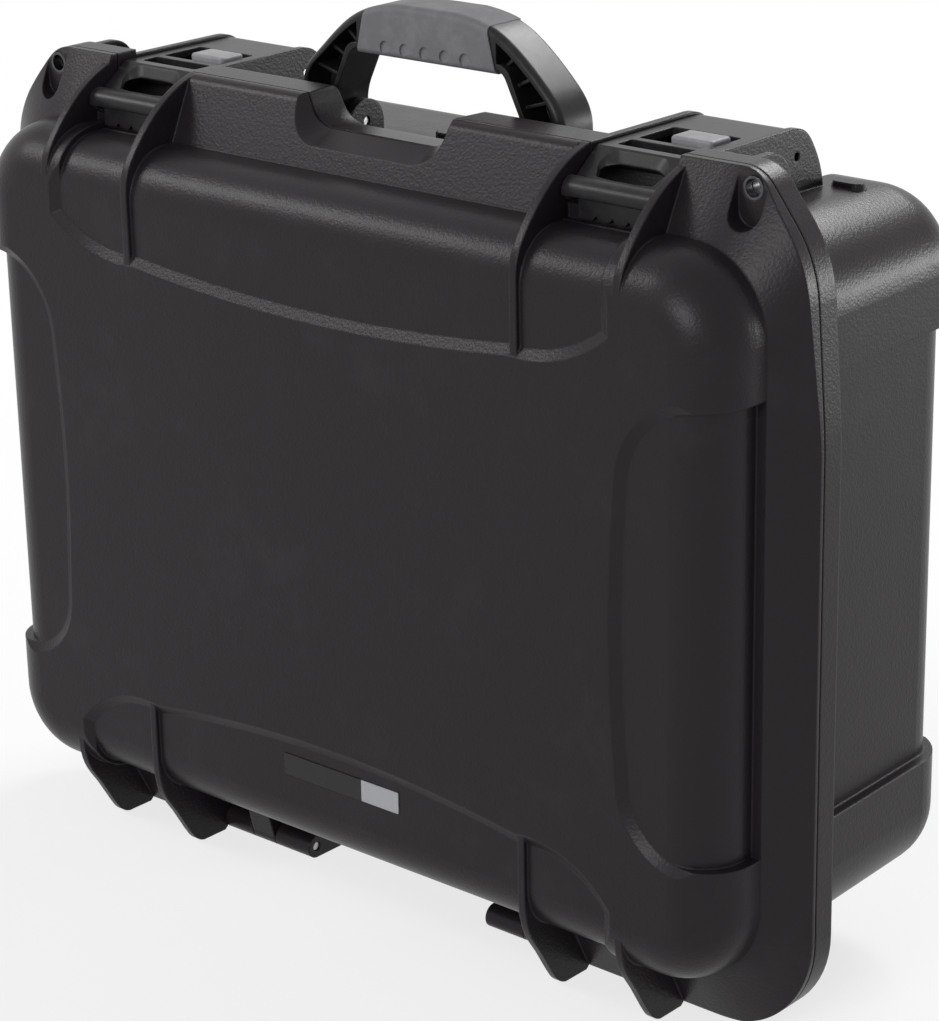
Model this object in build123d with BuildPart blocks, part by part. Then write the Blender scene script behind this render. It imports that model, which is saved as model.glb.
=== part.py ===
from build123d import *
from math import cos, radians, sin, tan
import os

# A hard moulded transport case for an audio mixer, standing on its hinge side with its handle up.
# Millimetres. X runs along the width, the lid faces -Y, the handle points to +Z, and the
# origin lies on the floor under the middle of the closed case.

# Overall size of the closed case
case_width = 503.0
rim_top = 404.5
lid_depth = 52.0
base_depth = 141.0

# The two shells: raised outline at the parting line, and how it narrows away from it
rim_flange = 16.5
rim_foot = 30.5
rim_crest = 30.0
body_corner = 40.0
nose_radius = 27.0
body_draft = 1.5
wall = 4.5
root_sink = 1.0
rim_half_width = case_width / 2
body_half_width = rim_half_width - rim_flange
body_low = rim_foot
body_high = rim_top - rim_crest

# Bands sunk into the faces and sides of both shells
panel_step = 3.0
side_step = 5.0
step_slope = 60.0
panel_top_drop = 58.5
panel_low_rise = 56.5
panel_top_bow = 7.0
panel_low_bow = 9.0
bay_top_drop = 40.5
bay_low_rise = 33.5
bay_bulge = 4.0
side_band_top_drop = 56.5
side_band_low_rise = 59.5
side_band_width = 61.5
side_band_shoulder = 7.5
side_band_top_slope = 9.0
side_band_low_slope = 3.0
side_band_top_round = 45.0
side_band_low_round = 38.0
side_band_waist_round = 600.0
panel_top_side = body_high - panel_top_drop
panel_low_side = body_low + panel_low_rise
bay_top_end = body_high - bay_top_drop
bay_low_end = body_low + bay_low_rise
sunk_high = body_high - panel_step
sunk_low = body_low + panel_step

# Rim flange where the shells meet
seam_gap = 0.8
rim_flank_inset = 5.5
rim_flank_drop = 36.5
rim_flank_round = 60.0
rim_lug_inset = 33.5
rim_lug_round = 18.0
rim_straight_drop = 114.5
rim_straight_round = 300.0
rim_low_corner = 52.0
rim_edge = 5.0
rim_skirt = 19.0
rim_behind = 12.5
half_gap = seam_gap / 2

# Tall wall in front of the handle, and the hand dip in it
wall_below_rim = 2.5
wall_behind = 23.0
wall_front = 5.0
wall_edge_round = 6.0
dip_half_width = 42.0
dip_deep = 15.0
dip_round = 14.0
dip_top_round = 2.5
dip_lean = 4.0
dip_bevel_front = 23.0
dip_bevel_rear = 7.5
wall_top = rim_top - wall_below_rim
dip_floor = wall_top - dip_deep

# Fins beside the latches; each bend is a distance behind the fin's end and one below its top
fin_outer_inset = 72.3
fin_spread = 56.8
fin_outer_x = rim_half_width - fin_outer_inset
fin_inner_x = fin_outer_x - fin_spread
fin_thick = 4.0
fin_front_recess = 0.6
fin_front_drop = 52.0
fin_high_bends = [(25.4, 12.5), (4.4, 35.5)]
fin_low_flat = 22.0
fin_low_bends = [(20.4, 7.5), (11.4, 22.5)]
fin_front_low = 60.0
fin_back_reach = 95.5
fin_back_slope = 23.5
fin_back_bend = (7.5, 10.0)
fin_top = wall_top
fin_inner_face = fin_inner_x - fin_thick / 2
fin_outer_face = fin_outer_x - fin_thick / 2

# Lid hinge
hinge_height = 6.0
hinge_pin_radius = 2.5
hinge_opening = 95.0
hinge_inner_x = 60.0
hinge_block_width = 24.0
hinge_gap_width = 16.0
hinge_side_play = 0.5
hinge_block_depth = 19.0
hinge_web_reach = 14.0
hinge_gap_inner_x = hinge_inner_x + hinge_block_width
hinge_gap_outer_x = hinge_gap_inner_x + hinge_gap_width

# Latches
latch_play = 0.7
latch_recess = 1.5
latch_plate = 3.5
latch_side_wall = 3.0
latch_pivot_back = 75.0
latch_tail_radius = 11.5
latch_pin_radius = 2.0
latch_skirt_drop = 12.5
latch_bend_back = 4.0
latch_lip_radius = 6.0
latch_lip_wall = 2.2
latch_lip_cheek = 5.0
latch_window_half_width = 19.0
latch_slope_share = 0.4
slot_start = -16.0
slot_end = 4.0
slot_half_width = 20.0
slot_flare = 4.0
slot_corner = 2.5
slot_rear_corner = 9.0
slot_rise = 1.5
slot_reach = 14.0
slot_bevel = 25.0
window_corner = 2.0
front_window_start = 9.0
front_window_end = 20.0
cross_bar_radius = 4.0
cross_bar_drop = 8.0
lock_window_start = 24.0
lock_window_end = 50.0
lid_shelf_rise = 3.5
base_shelf_rise = 7.5
shelf_front = 15.2
latch_centre_x = (fin_inner_x + fin_outer_x) / 2
latch_width = fin_outer_face - fin_inner_face - fin_thick - 2 * latch_play
latch_top = fin_top - latch_recess
latch_under_plate = latch_top - latch_plate
latch_pivot_height = latch_top - latch_tail_radius
latch_skirt_low = latch_top - latch_skirt_drop
cross_bar_height = latch_top - cross_bar_drop
lid_shelf_height = body_high + lid_shelf_rise
base_shelf_height = body_high + base_shelf_rise

# Claw under the front of each latch
claw_back = -15.0
claw_drop = 16.0
claw_reach = 11.8
claw_thick = 2.0
claw_pin_radius = 1.5
claw_half_width = 19.0
claw_notch_pitch = 9.0
claw_notch_width = 3.0
claw_play = 0.4
running_fit = 0.06
pin_recess = 0.8
pin_chamfer = 0.4
lip_start_angle = 40.0
lip_blend_angle = 10.0
lip_end_angle = 200.0
lip_opening_corners = 5
claw_height = latch_top - claw_drop
claw_tip_height = claw_height - claw_reach
claw_rear = -shelf_front - claw_play
claw_front = claw_rear - claw_thick
claw_barrel_radius = latch_lip_radius - latch_lip_wall - claw_play

# Sliding lock in each latch
lock_shift = 6.0
lock_length = 23.0
lock_width = 15.0
lock_foot_width = 21.0
lock_foot_length = 30.0
lock_foot_thick = 2.4
lock_rise = 1.9
lock_round = 1.5
slide_play = 0.2

# Folding handle; a bend is a distance out from the middle and one below the crown
handle_pivot_back = 46.8
handle_pivot_rise = 4.1
handle_rise = 62.9
handle_front_reach = 15.4
handle_rear_reach = 8.6
handle_half_width = 82.0
handle_leg_width = 22.0
handle_leg_straight = 13.4
handle_crown_flat = 18.0
handle_bar_height = 23.0
handle_lean = 13.0
handle_end_radius = 8.2
handle_shoulder = (71.5, 28.0)
handle_shoulder_facing = 24.0
handle_crown_start = (48.0, 8.5)
handle_crown_facing = 60.0
handle_crown_slope = 0.1
handle_bend_radius = 30.0
handle_corner_radius = 8.0
handle_front_round = 3.5
handle_back_round = 2.0
handle_pocket_rim = 4.2
handle_inner_rim = 2.4
handle_pocket_depth = 17.0
handle_pocket_foot = 6.4
handle_rib_thick = 1.6
handle_rib_recess = 4.0
handle_rib_bends = [(66.5, 37.0), (60.0, 26.5), (52.0, 17.0)]
handle_rib_leans = [16.0, 27.0, 40.0]
handle_pin_radius = 2.15
handle_pin_end = 74.0
handle_ear_inner = 53.0
handle_ear_thick = 5.0
handle_ear_radius = 12.0
handle_ear_drop = 1.0
handle_pan_depth = 2.0
handle_pan_half_width = 93.0
handle_pan_back = 114.0
grip_half_length = 40.0
grip_slant = 3.5
grip_skin = 3.0
grip_top_skin = 6.5
grip_proud = 0.6
grip_belly = 2.6
grip_edge_round = 3.0
grip_hollow_count = 5
grip_hollow_pitch = 12.5
grip_hollow_radius = 3.2
grip_hollow_rise = 4.4
grip_hollow_depth = 0.5
grip_hollow_lean = 0.15
handle_pivot_height = body_high + handle_pivot_rise
handle_straight_top = handle_pivot_height + handle_leg_straight
handle_crown_height = handle_pivot_height + handle_rise
handle_bar_low = handle_crown_height - handle_bar_height
handle_pocket_low = handle_pivot_height + handle_pocket_foot
grip_low = handle_bar_low - grip_belly
grip_hollow_height = grip_low + grip_hollow_rise

# Padlock eyes in the top corners of the rim
eye_inset = 35.5
eye_drop = 8.5
eye_radius = 4.0
eye_bush_wall = 1.2
eye_plate = 5.0
eye_pocket_width = 15.0
eye_pocket_above = 5.5
eye_pocket_below = 9.5
eye_x = rim_half_width - eye_inset
eye_height = rim_top - eye_drop
eye_bush_radius = eye_radius + eye_bush_wall

# Thin ribs behind the rim's corners
corner_rib_inset = 46.5
corner_rib_back = 41.0
corner_rib_lean = 8.0
corner_rib_round = 14.0
corner_rib_x = rim_half_width - corner_rib_inset

# Low feet at the rear corners of the base top
foot_inset = 43.0
foot_back = 100.0
foot_length = 18.0
foot_width = 9.0
foot_height = 3.0
foot_lean = 20.0
foot_x = body_half_width - foot_inset

# Pressure valve
valve_x = -20.0
valve_back = 69.5
valve_flange_radius = 9.0
valve_flange_thick = 1.5
valve_stem_radius = 5.0
valve_bore_radius = 2.0
valve_cap_radius = 6.6
valve_cap_height = 3.2
valve_flute_count = 12
valve_flute_radius = 0.7
valve_nut_radius = 8.0
valve_nut_thick = 3.0

# Soft inside, and what it is cut for
foam_play = 1.0
foam_rest = 0.15
foam_side = 27.5
foam_sill = 29.5
mixer_pocket_depth = 100.0
mixer_pocket_corner = 12.0
finger_notch_radius = 14.0
finger_notch_length = 90.0
valve_notch_depth = 15.0
gasket_width = 2.4
gasket_depth = 3.4
gasket_rest = 0.1
cavity_inset = side_step + wall
cavity_step = panel_step + wall
foam_inset = cavity_inset + foam_play
foam_step = cavity_step + foam_play
mixer_pocket_width = 2 * (body_half_width - foam_inset - foam_side)
mixer_pocket_height = body_high - body_low - 2 * (foam_inset + foam_sill)

# Bare plates on the lid
plate_rise = 43.0
plate_height = 11.0
plate_thick = 0.9
plate_seat = 0.4
plate_corner = 0.8
dark_plate_left = -31.0
dark_plate_right = 20.5
pale_plate_right = 44.5
plate_low = body_low + plate_rise

front_y = -(lid_depth + base_depth) / 2
parting_y = front_y + lid_depth
sides = {"left": -1, "right": 1}
backward = Axis.Y
forward = Axis((0, 0, 0), (0, -1, 0))


def front_facing(back):
    """Upright plane at a distance behind the parting line, facing the lid's front."""
    return Plane(origin=(0, parting_y + back, 0), x_dir=(1, 0, 0), z_dir=(0, -1, 0))


def rear_facing(back):
    """Upright plane at a distance behind the parting line, facing the base's back."""
    return Plane(origin=(0, parting_y + back, 0), x_dir=(-1, 0, 0), z_dir=(0, 1, 0))


def side_facing(x):
    """Upright plane across the case: its first axis runs back from the parting line."""
    return Plane(origin=(x, parting_y, 0), x_dir=(0, 1, 0), z_dir=(1, 0, 0))


def drafted_block(start, far_side, depth, inset, step):
    """Rounded block that narrows away from the parting line and ends in a rounded face."""
    low = body_low + step
    high = body_high - step
    with BuildPart() as block:
        with BuildSketch(start):
            with Locations((0, (low + high) / 2)):
                RectangleRounded(2 * (body_half_width - inset), high - low, body_corner - step)
        extrude(amount=depth, taper=body_draft)
        far_face = block.faces().sort_by(far_side)[-1]
        fillet(far_face.edges(), radius=nose_radius - step)
    return block.part


def sunk_outline_middle():
    """Outline of the sunk bands above and below the raised panel, between the outer fins."""
    edge = fin_outer_x - fin_thick
    start = fin_inner_x - fin_thick
    bulge_x = (start + edge) / 2 + bay_bulge
    beyond = 2 * rim_top
    with BuildSketch() as bands:
        with BuildLine():
            bow = (0, panel_top_side - panel_top_bow)
            ThreePointArc((-start, panel_top_side), bow, (start, panel_top_side))
            bulge = (bulge_x, panel_top_side + bay_bulge)
            ThreePointArc((start, panel_top_side), bulge, (edge, bay_top_end))
            Polyline((edge, bay_top_end), (edge, beyond), (-edge, beyond), (-edge, bay_top_end))
            bulge = (-bulge_x, panel_top_side + bay_bulge)
            ThreePointArc((-edge, bay_top_end), bulge, (-start, panel_top_side))
        make_face()
        with BuildLine():
            bow = (0, panel_low_side + panel_low_bow)
            ThreePointArc((-start, panel_low_side), bow, (start, panel_low_side))
            bulge = (bulge_x, panel_low_side - bay_bulge)
            ThreePointArc((start, panel_low_side), bulge, (edge, bay_low_end))
            Polyline((edge, bay_low_end), (edge, -rim_top), (-edge, -rim_top), (-edge, bay_low_end))
            bulge = (-bulge_x, panel_low_side - bay_bulge)
            ThreePointArc((-edge, bay_low_end), bulge, (-start, panel_low_side))
        make_face()
    return bands.sketch


def sunk_outline_sides():
    """Outline of the sunk side bands, which run round the upright edges of a shell."""
    reach = body_half_width + nose_radius
    waist = body_half_width - side_band_width
    shoulder = waist + side_band_shoulder
    top = body_high - side_band_top_drop
    low = body_low + side_band_low_rise
    with BuildSketch() as bands:
        with BuildLine():
            FilletPolyline(
                (reach, top),
                (shoulder, top - side_band_top_slope),
                (waist, (body_low + body_high) / 2),
                (shoulder, low + side_band_low_slope),
                (reach, low),
                (reach, top),
                radius=[0, side_band_top_round, side_band_waist_round, side_band_low_round, 0],
            )
        make_face()
        mirror(about=Plane.YZ)
    return bands.sketch


def sunk_layer(inward, inward_axis, depth, core):
    """Thin layer between the raised outline and the sunk one, over the sunk bands only."""
    with BuildPart() as layer:
        with BuildSketch(inward):
            add(sunk_outline_middle())
            add(sunk_outline_sides())
        extrude(amount=panel_step, taper=step_slope)
        ends = layer.faces().group_by(inward_axis)[-1]
        extrude(ends, amount=depth - panel_step)
        add(core, mode=Mode.SUBTRACT)
    return layer.part


def rim_outline():
    """Outline of the rim where the two shells meet, with a lug at each top corner."""
    right = [
        (rim_half_width - rim_lug_inset, rim_top),
        (rim_half_width - rim_flank_inset, rim_top - rim_flank_drop),
        (rim_half_width, rim_top - rim_straight_drop),
        (rim_half_width, 0),
    ]
    left = [(-x, z) for x, z in reversed(right)]
    radii = [rim_lug_round, rim_flank_round, rim_straight_round, rim_low_corner]
    with BuildSketch() as outline:
        with BuildLine():
            points = [(0, rim_top)] + right + [(0, 0)] + left + [(0, rim_top)]
            FilletPolyline(*points, radius=[0] + radii + [0] + list(reversed(radii)))
        make_face()
    return outline.sketch


def rim_ring(near, far):
    """Straight ring of the rim between two distances behind the parting line."""
    with BuildPart() as ring:
        with BuildSketch(rear_facing(near)):
            add(rim_outline())
        extrude(amount=far - near)
    return ring.part


def lid_rim_slope():
    """Funnel that cuts the lid's side of the rim down to the lid body."""
    with BuildPart() as funnel:
        with BuildSketch(front_facing(0)):
            with Locations((0, rim_top / 2)):
                RectangleRounded(2 * rim_half_width + rim_edge, rim_top + 3 * rim_edge, rim_low_corner)
        with BuildSketch(front_facing(-rim_skirt)):
            with Locations((0, (body_low + body_high) / 2)):
                RectangleRounded(2 * body_half_width, body_high - body_low, body_corner)
        loft(ruled=True)
    return funnel.part


def band_box(widths, backs, heights):
    """Box between two widths, two distances behind the parting line and two heights."""
    middle = (sum(widths) / 2, parting_y + sum(backs) / 2)
    with BuildPart() as box:
        with BuildSketch(Plane.XY.offset(heights[0])):
            with Locations(middle):
                Rectangle(abs(widths[1] - widths[0]), abs(backs[1] - backs[0]))
        extrude(amount=heights[1] - heights[0])
    return box.part


def rim_clearings(shelf_height, backs):
    """What is cut from the rim: its top and bottom middle, and the room for the latches."""
    with BuildPart() as clearings:
        add(band_box((-fin_inner_face, fin_inner_face), backs, (sunk_high, 2 * rim_top)))
        add(band_box((-fin_inner_face, fin_inner_face), backs, (-rim_top, sunk_low)))
        for sign in sides.values():
            bay = (sign * fin_inner_face, sign * fin_outer_face)
            add(band_box(bay, backs, (shelf_height, 2 * rim_top)))
            add(band_box(bay, (backs[0], min(backs[1], -shelf_front)), (sunk_high, 2 * rim_top)))
    return clearings.part


def lid_fin_outlines():
    """Outline of a lid fin over the top and of one under the bottom, seen from the side."""
    front = -(lid_depth - fin_front_recess)
    high_bends = [(front + behind, fin_top - below) for behind, below in fin_high_bends]
    low_bends = [(front + behind, above) for behind, above in fin_low_bends]
    front_top = fin_top - fin_front_drop
    with BuildSketch() as outlines:
        with BuildLine():
            edge = [(-half_gap, fin_top)] + high_bends + [(front, front_top)]
            Spline(*edge, tangents=[(-1, -0.25), (0, -1)])
            Polyline(
                (front, front_top),
                (front, panel_top_side - panel_step),
                (-lid_depth / 2, panel_top_side - panel_step),
                (-half_gap, front_top),
                (-half_gap, fin_top),
            )
        make_face()
        with BuildLine():
            Line((-half_gap, 0), (-fin_low_flat, 0))
            edge = [(-fin_low_flat, 0)] + low_bends + [(front, fin_front_low)]
            Spline(*edge, tangents=[(-1, 0.2), (0, 1)])
            Polyline(
                (front, fin_front_low),
                (front, panel_low_side),
                (-lid_depth / 2, panel_low_side),
                (-half_gap, fin_front_low),
                (-half_gap, 0),
            )
        make_face()
    return outlines.sketch


def base_fin_outlines():
    """Outline of a base fin over the top and of one under the bottom, seen from the side."""
    deep_high = sunk_high - nose_radius
    deep_low = sunk_low + nose_radius
    flat_end = fin_back_reach - fin_back_slope
    bend_back = fin_back_reach - fin_back_bend[0]
    high_tip = (fin_back_reach, sunk_high)
    low_tip = (fin_back_reach, sunk_low)
    with BuildSketch() as outlines:
        with BuildLine():
            Line((half_gap, fin_top), (flat_end, fin_top))
            edge = [(flat_end, fin_top), (bend_back, fin_top - fin_back_bend[1]), high_tip]
            Spline(*edge, tangents=[(1, 0), (0.1, -1)])
            Polyline(high_tip, (fin_back_reach, deep_high), (half_gap, deep_high), (half_gap, fin_top))
        make_face()
        with BuildLine():
            Line((half_gap, 0), (flat_end, 0))
            edge = [(flat_end, 0), (bend_back, fin_back_bend[1]), low_tip]
            Spline(*edge, tangents=[(1, 0), (0.1, 1)])
            Polyline(low_tip, (fin_back_reach, deep_low), (half_gap, deep_low), (half_gap, 0))
        make_face()
    return outlines.sketch


def fins(outlines):
    """The fins of one shell, an inner and an outer one beside each latch, top and bottom."""
    with BuildPart() as plates:
        for sign in sides.values():
            for centre in (fin_inner_x, fin_outer_x):
                with BuildSketch(side_facing(sign * centre - fin_thick / 2)):
                    add(outlines)
                extrude(amount=fin_thick)
    return plates.part


def corner_ribs():
    """Thin ribs behind the corners of the base rim, above and below the body."""
    inside_high = sunk_high - nose_radius
    inside_low = sunk_low + nose_radius
    with BuildPart() as ribs:
        for sign in sides.values():
            with BuildSketch(side_facing(sign * corner_rib_x - fin_thick / 2)):
                for edge, inside in ((rim_top, inside_high), (0, inside_low)):
                    with BuildLine():
                        FilletPolyline(
                            (half_gap, inside),
                            (half_gap, edge),
                            (corner_rib_back - corner_rib_lean, edge),
                            (corner_rib_back, inside),
                            (half_gap, inside),
                            radius=[0, 0, corner_rib_round, 0],
                        )
                    make_face()
            extrude(amount=fin_thick)
    return ribs.part


def hinge_relief():
    """Wedge cut from both shells under the hinge axis, so that the lid clears the base."""
    below = root_sink
    reach = (hinge_height + below) * tan(radians(hinge_opening / 2))
    with BuildPart() as wedge:
        with BuildSketch(side_facing(-case_width / 2)):
            with BuildLine():
                Polyline((0, hinge_height), (reach, -below), (-reach, -below), (0, hinge_height))
            make_face()
        extrude(amount=case_width)
    return wedge.part


def dip_cut(start, length, widen):
    """Hand dip cut through the tall wall, wider as it goes."""
    above = 2 * dip_floor
    outer = dip_half_width + dip_lean
    foot = dip_half_width - dip_lean / 2
    with BuildPart() as cut:
        with BuildSketch(start):
            with BuildLine():
                FilletPolyline(
                    (0, above),
                    (-outer, above),
                    (-outer, wall_top),
                    (-foot, dip_floor),
                    (foot, dip_floor),
                    (outer, wall_top),
                    (outer, above),
                    (0, above),
                    radius=[0, 0, dip_top_round, dip_round, dip_round, dip_top_round, 0],
                )
            make_face()
        extrude(amount=length, taper=-widen)
    return cut.part


def mirrored_span(inner, outer, sign):
    """Stretch along X between two widths on one side of the case, as start and length."""
    low = min(sign * inner, sign * outer)
    return low, abs(outer - inner)


def hinge_round(radius):
    """Round bars along the hinge axis, one through the knuckles of each side."""
    with BuildPart() as bars:
        for sign in sides.values():
            start, length = mirrored_span(hinge_inner_x, fin_inner_face, sign)
            with BuildSketch(side_facing(start)):
                with Locations((0, hinge_height)):
                    Circle(radius)
            extrude(amount=length)
    return bars.part


def knuckle(inner, outer, sign, web):
    """One hinge knuckle: a barrel round the axis with a web up to its shell."""
    start, length = mirrored_span(inner, outer, sign)
    with BuildPart() as block:
        with BuildSketch(side_facing(start)):
            with Locations((0, hinge_height)):
                Circle(hinge_height)
            with BuildLine():
                Polyline(*web, web[0])
            make_face()
        extrude(amount=length)
    return block.part


def gasket_outline():
    """Ring in the middle of the wall where the shells meet, seen from the front."""
    height = body_high - body_low - 2 * cavity_step
    width = 2 * (body_half_width - cavity_inset)
    corner = body_corner - cavity_step
    outer = (wall + gasket_width) / 2
    inner = (wall - gasket_width) / 2
    with BuildSketch() as ring:
        with Locations((0, (body_low + body_high) / 2)):
            RectangleRounded(width + 2 * outer, height + 2 * outer, corner + outer)
            RectangleRounded(width + 2 * inner, height + 2 * inner, corner + inner, mode=Mode.SUBTRACT)
    return ring.sketch


def drawn_in(bend, facing, inset):
    """Bend of the handle's outline, moved against the way it faces by a margin."""
    out = bend[0] - inset * cos(radians(facing))
    up = handle_crown_height - bend[1] - inset * sin(radians(facing))
    return out, up


def handle_filled(inset):
    """Outline of the handle seen from the front, without the hand opening, drawn in by a margin."""
    low = handle_pivot_height - handle_end_radius
    half_width = handle_half_width - inset
    side = [
        (half_width, handle_straight_top),
        drawn_in(handle_shoulder, handle_shoulder_facing, inset),
        drawn_in(handle_crown_start, handle_crown_facing, inset),
    ]
    mirrored = [(-x, z) for x, z in reversed(side)]
    crown_end = (handle_crown_flat, handle_crown_height - inset)
    other_end = (-handle_crown_flat, handle_crown_height - inset)
    with BuildSketch() as outline:
        with BuildLine():
            Line((half_width, low), side[0])
            Spline(*side, crown_end, tangents=[(0, 1), (-1, handle_crown_slope)])
            Line(crown_end, other_end)
            Spline(other_end, *mirrored, tangents=[(-1, -handle_crown_slope), (0, -1)])
            Polyline(mirrored[-1], (-half_width, low), (half_width, low))
        make_face()
    return outline.sketch


def handle_window(grow):
    """Outline of the hand opening under the grip, grown by a margin."""
    inner = handle_half_width - handle_leg_width + grow
    bar_low = handle_bar_low + grow
    rounds = [handle_bend_radius, handle_corner_radius]
    with BuildSketch() as window:
        with BuildLine():
            FilletPolyline(
                (-inner, 0),
                (-inner, handle_straight_top),
                (-inner + handle_lean, bar_low),
                (inner - handle_lean, bar_low),
                (inner, handle_straight_top),
                (inner, 0),
                (-inner, 0),
                radius=[0, *rounds, *reversed(rounds), 0],
            )
        make_face()
    return window.sketch


def handle_blank():
    """Handle with its outer edges rounded, before the pockets and the grip are cut."""
    front = handle_pivot_back - handle_front_reach
    back = handle_pivot_back + handle_rear_reach
    low = handle_pivot_height - handle_end_radius
    with BuildPart() as blank:
        with BuildSketch(front_facing(back)):
            add(handle_filled(0))
        extrude(amount=back - front)
        front_edges = blank.edges().group_by(Axis.Y)[0]
        rim_edges = front_edges.filter_by(lambda edge: edge.center().Z > low + root_sink)
        fillet(rim_edges, radius=handle_front_round)
        back_edges = blank.edges().group_by(Axis.Y)[-1]
        rim_edges = back_edges.filter_by(lambda edge: edge.center().Z > low + root_sink)
        fillet(rim_edges, radius=handle_back_round)
        foot_edges = blank.edges().group_by(Axis.Y)[-1].group_by(Axis.Z)[0]
        fillet(foot_edges, radius=handle_end_radius)
        with BuildSketch(front_facing(back)):
            add(handle_window(0))
        extrude(amount=back - front, mode=Mode.SUBTRACT)
    return blank.part


def handle_pocket_outline(ribbed):
    """Outline of the hollows in both legs, with the cross ribs left standing or not."""
    shoulder = grip_half_length + grip_slant
    with BuildSketch() as hollows:
        add(handle_filled(handle_pocket_rim))
        add(handle_window(handle_inner_rim), mode=Mode.SUBTRACT)
        with Locations((0, handle_pocket_low / 2)):
            Rectangle(4 * handle_half_width, handle_pocket_low, mode=Mode.SUBTRACT)
        with Locations((0, handle_crown_height)):
            Rectangle(2 * shoulder, handle_crown_height, mode=Mode.SUBTRACT)
        if ribbed:
            for sign in sides.values():
                for (out, below), lean in zip(handle_rib_bends, handle_rib_leans):
                    with Locations((sign * out, handle_crown_height - below)):
                        length = 2 * handle_leg_width
                        Rectangle(length, handle_rib_thick, rotation=sign * lean, mode=Mode.SUBTRACT)
    return hollows.sketch


def handle_pockets():
    """Hollows in the front of both legs, with thin cross ribs standing back from the face."""
    front = handle_pivot_back - handle_front_reach
    with BuildPart() as pockets:
        with BuildSketch(front_facing(front)):
            add(handle_pocket_outline(False))
        extrude(amount=-handle_rib_recess)
        with BuildSketch(front_facing(front + handle_rib_recess)):
            add(handle_pocket_outline(True))
        extrude(amount=-(handle_pocket_depth - handle_rib_recess))
    return pockets.part


def grip_outline():
    """Outline between the slanted ends of the grip, seen from the front."""
    low_end = grip_half_length + grip_slant
    high_end = grip_half_length - grip_slant
    high = handle_crown_height + grip_skin
    with BuildSketch() as outline:
        with BuildLine():
            Polyline(
                (-low_end, grip_low),
                (low_end, grip_low),
                (high_end, high),
                (-high_end, high),
                (-low_end, grip_low),
            )
        make_face()
    return outline.sketch


def grip_seat():
    """Stretch of the handle that the grip takes the place of."""
    with BuildPart() as seat:
        with BuildSketch(front_facing(handle_pivot_back + handle_leg_width)):
            add(grip_outline())
        extrude(amount=2 * handle_leg_width)
    return seat.part


def grip_blank():
    """Block of the soft grip, which follows the shape of the handle."""
    front = handle_pivot_back - handle_front_reach - grip_proud
    back = handle_pivot_back + handle_rear_reach
    with BuildPart() as blank:
        with BuildSketch(front_facing(back)):
            add(handle_filled(0))
            add(grip_outline(), mode=Mode.INTERSECT)
        extrude(amount=back - front)
        front_edges = blank.edges().group_by(Axis.Y)[0]
        fillet(front_edges.group_by(Axis.Z)[-1], radius=handle_front_round)
        fillet(front_edges.group_by(Axis.Z)[0], radius=grip_edge_round)
        back_edges = blank.edges().group_by(Axis.Y)[-1]
        fillet(back_edges.group_by(Axis.Z)[0], radius=grip_edge_round)
    return blank.part


def latch_plate_outline():
    """Side view of the latch's top plate, its tail roll and its front lip."""
    slope = latch_plate * latch_slope_share
    with BuildSketch() as outline:
        with Locations((latch_pivot_back, latch_pivot_height)):
            Circle(latch_tail_radius)
            Circle(latch_tail_radius - latch_plate, mode=Mode.SUBTRACT)
            with Locations((-latch_tail_radius, 0)):
                Rectangle(2 * latch_tail_radius, 2 * latch_tail_radius, mode=Mode.SUBTRACT)
        with Locations((claw_back, claw_height)):
            Circle(latch_lip_radius)
            Circle(latch_lip_radius - latch_lip_wall, mode=Mode.SUBTRACT)
        with BuildLine():
            Polyline(*lip_opening, lip_opening[0])
        make_face(mode=Mode.SUBTRACT)
        with BuildLine():
            Polyline(
                (latch_pivot_back, latch_top),
                (latch_bend_back, latch_top),
                lip_top_outer,
                lip_top_inner,
                (latch_bend_back + slope, latch_top - latch_plate),
                (latch_pivot_back, latch_top - latch_plate),
                (latch_pivot_back, latch_top),
            )
        make_face()
    return outline.sketch


def latch_side_outline():
    """Side view of a latch's side wall."""
    with BuildSketch() as outline:
        with Locations((latch_pivot_back, latch_pivot_height)):
            Circle(latch_tail_radius)
        with Locations((claw_back, claw_height)):
            Circle(latch_lip_cheek)
        with BuildLine():
            Polyline(
                (latch_pivot_back, latch_top),
                (latch_bend_back, latch_top),
                lip_top_outer,
                (claw_back, claw_height),
                (latch_bend_back, latch_skirt_low),
                (latch_pivot_back, latch_skirt_low),
                (latch_pivot_back, latch_top),
            )
        make_face()
    return outline.sketch


def finger_slot():
    """Tapered D-shaped cut through the slope at the front of a latch."""
    with BuildPart() as cut:
        with BuildSketch(Plane.XY.offset(latch_top + slot_rise)):
            with BuildLine():
                FilletPolyline(
                    (-slot_half_width, parting_y + slot_start),
                    (slot_half_width, parting_y + slot_start),
                    (slot_half_width + slot_flare, parting_y + slot_end),
                    (-slot_half_width - slot_flare, parting_y + slot_end),
                    (-slot_half_width, parting_y + slot_start),
                    radius=[slot_corner, slot_corner, slot_rear_corner, slot_rear_corner],
                )
            make_face()
        extrude(amount=-slot_reach, taper=slot_bevel)
    return cut.part


def around_claw(radius, angle):
    """Point on a circle round the claw pin, seen from the side."""
    turn = radians(angle)
    return claw_back + radius * cos(turn), claw_height + radius * sin(turn)


lip_top_outer = around_claw(latch_lip_radius, lip_start_angle + lip_blend_angle)
lip_top_inner = around_claw(latch_lip_radius - latch_lip_wall, lip_start_angle)
lip_opening = [(claw_back, claw_height)]
for corner in range(lip_opening_corners):
    share = corner / (lip_opening_corners - 1)
    angle = lip_end_angle + share * (360 + lip_start_angle - lip_end_angle)
    lip_opening.append(around_claw(2 * latch_lip_radius, angle))

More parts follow.
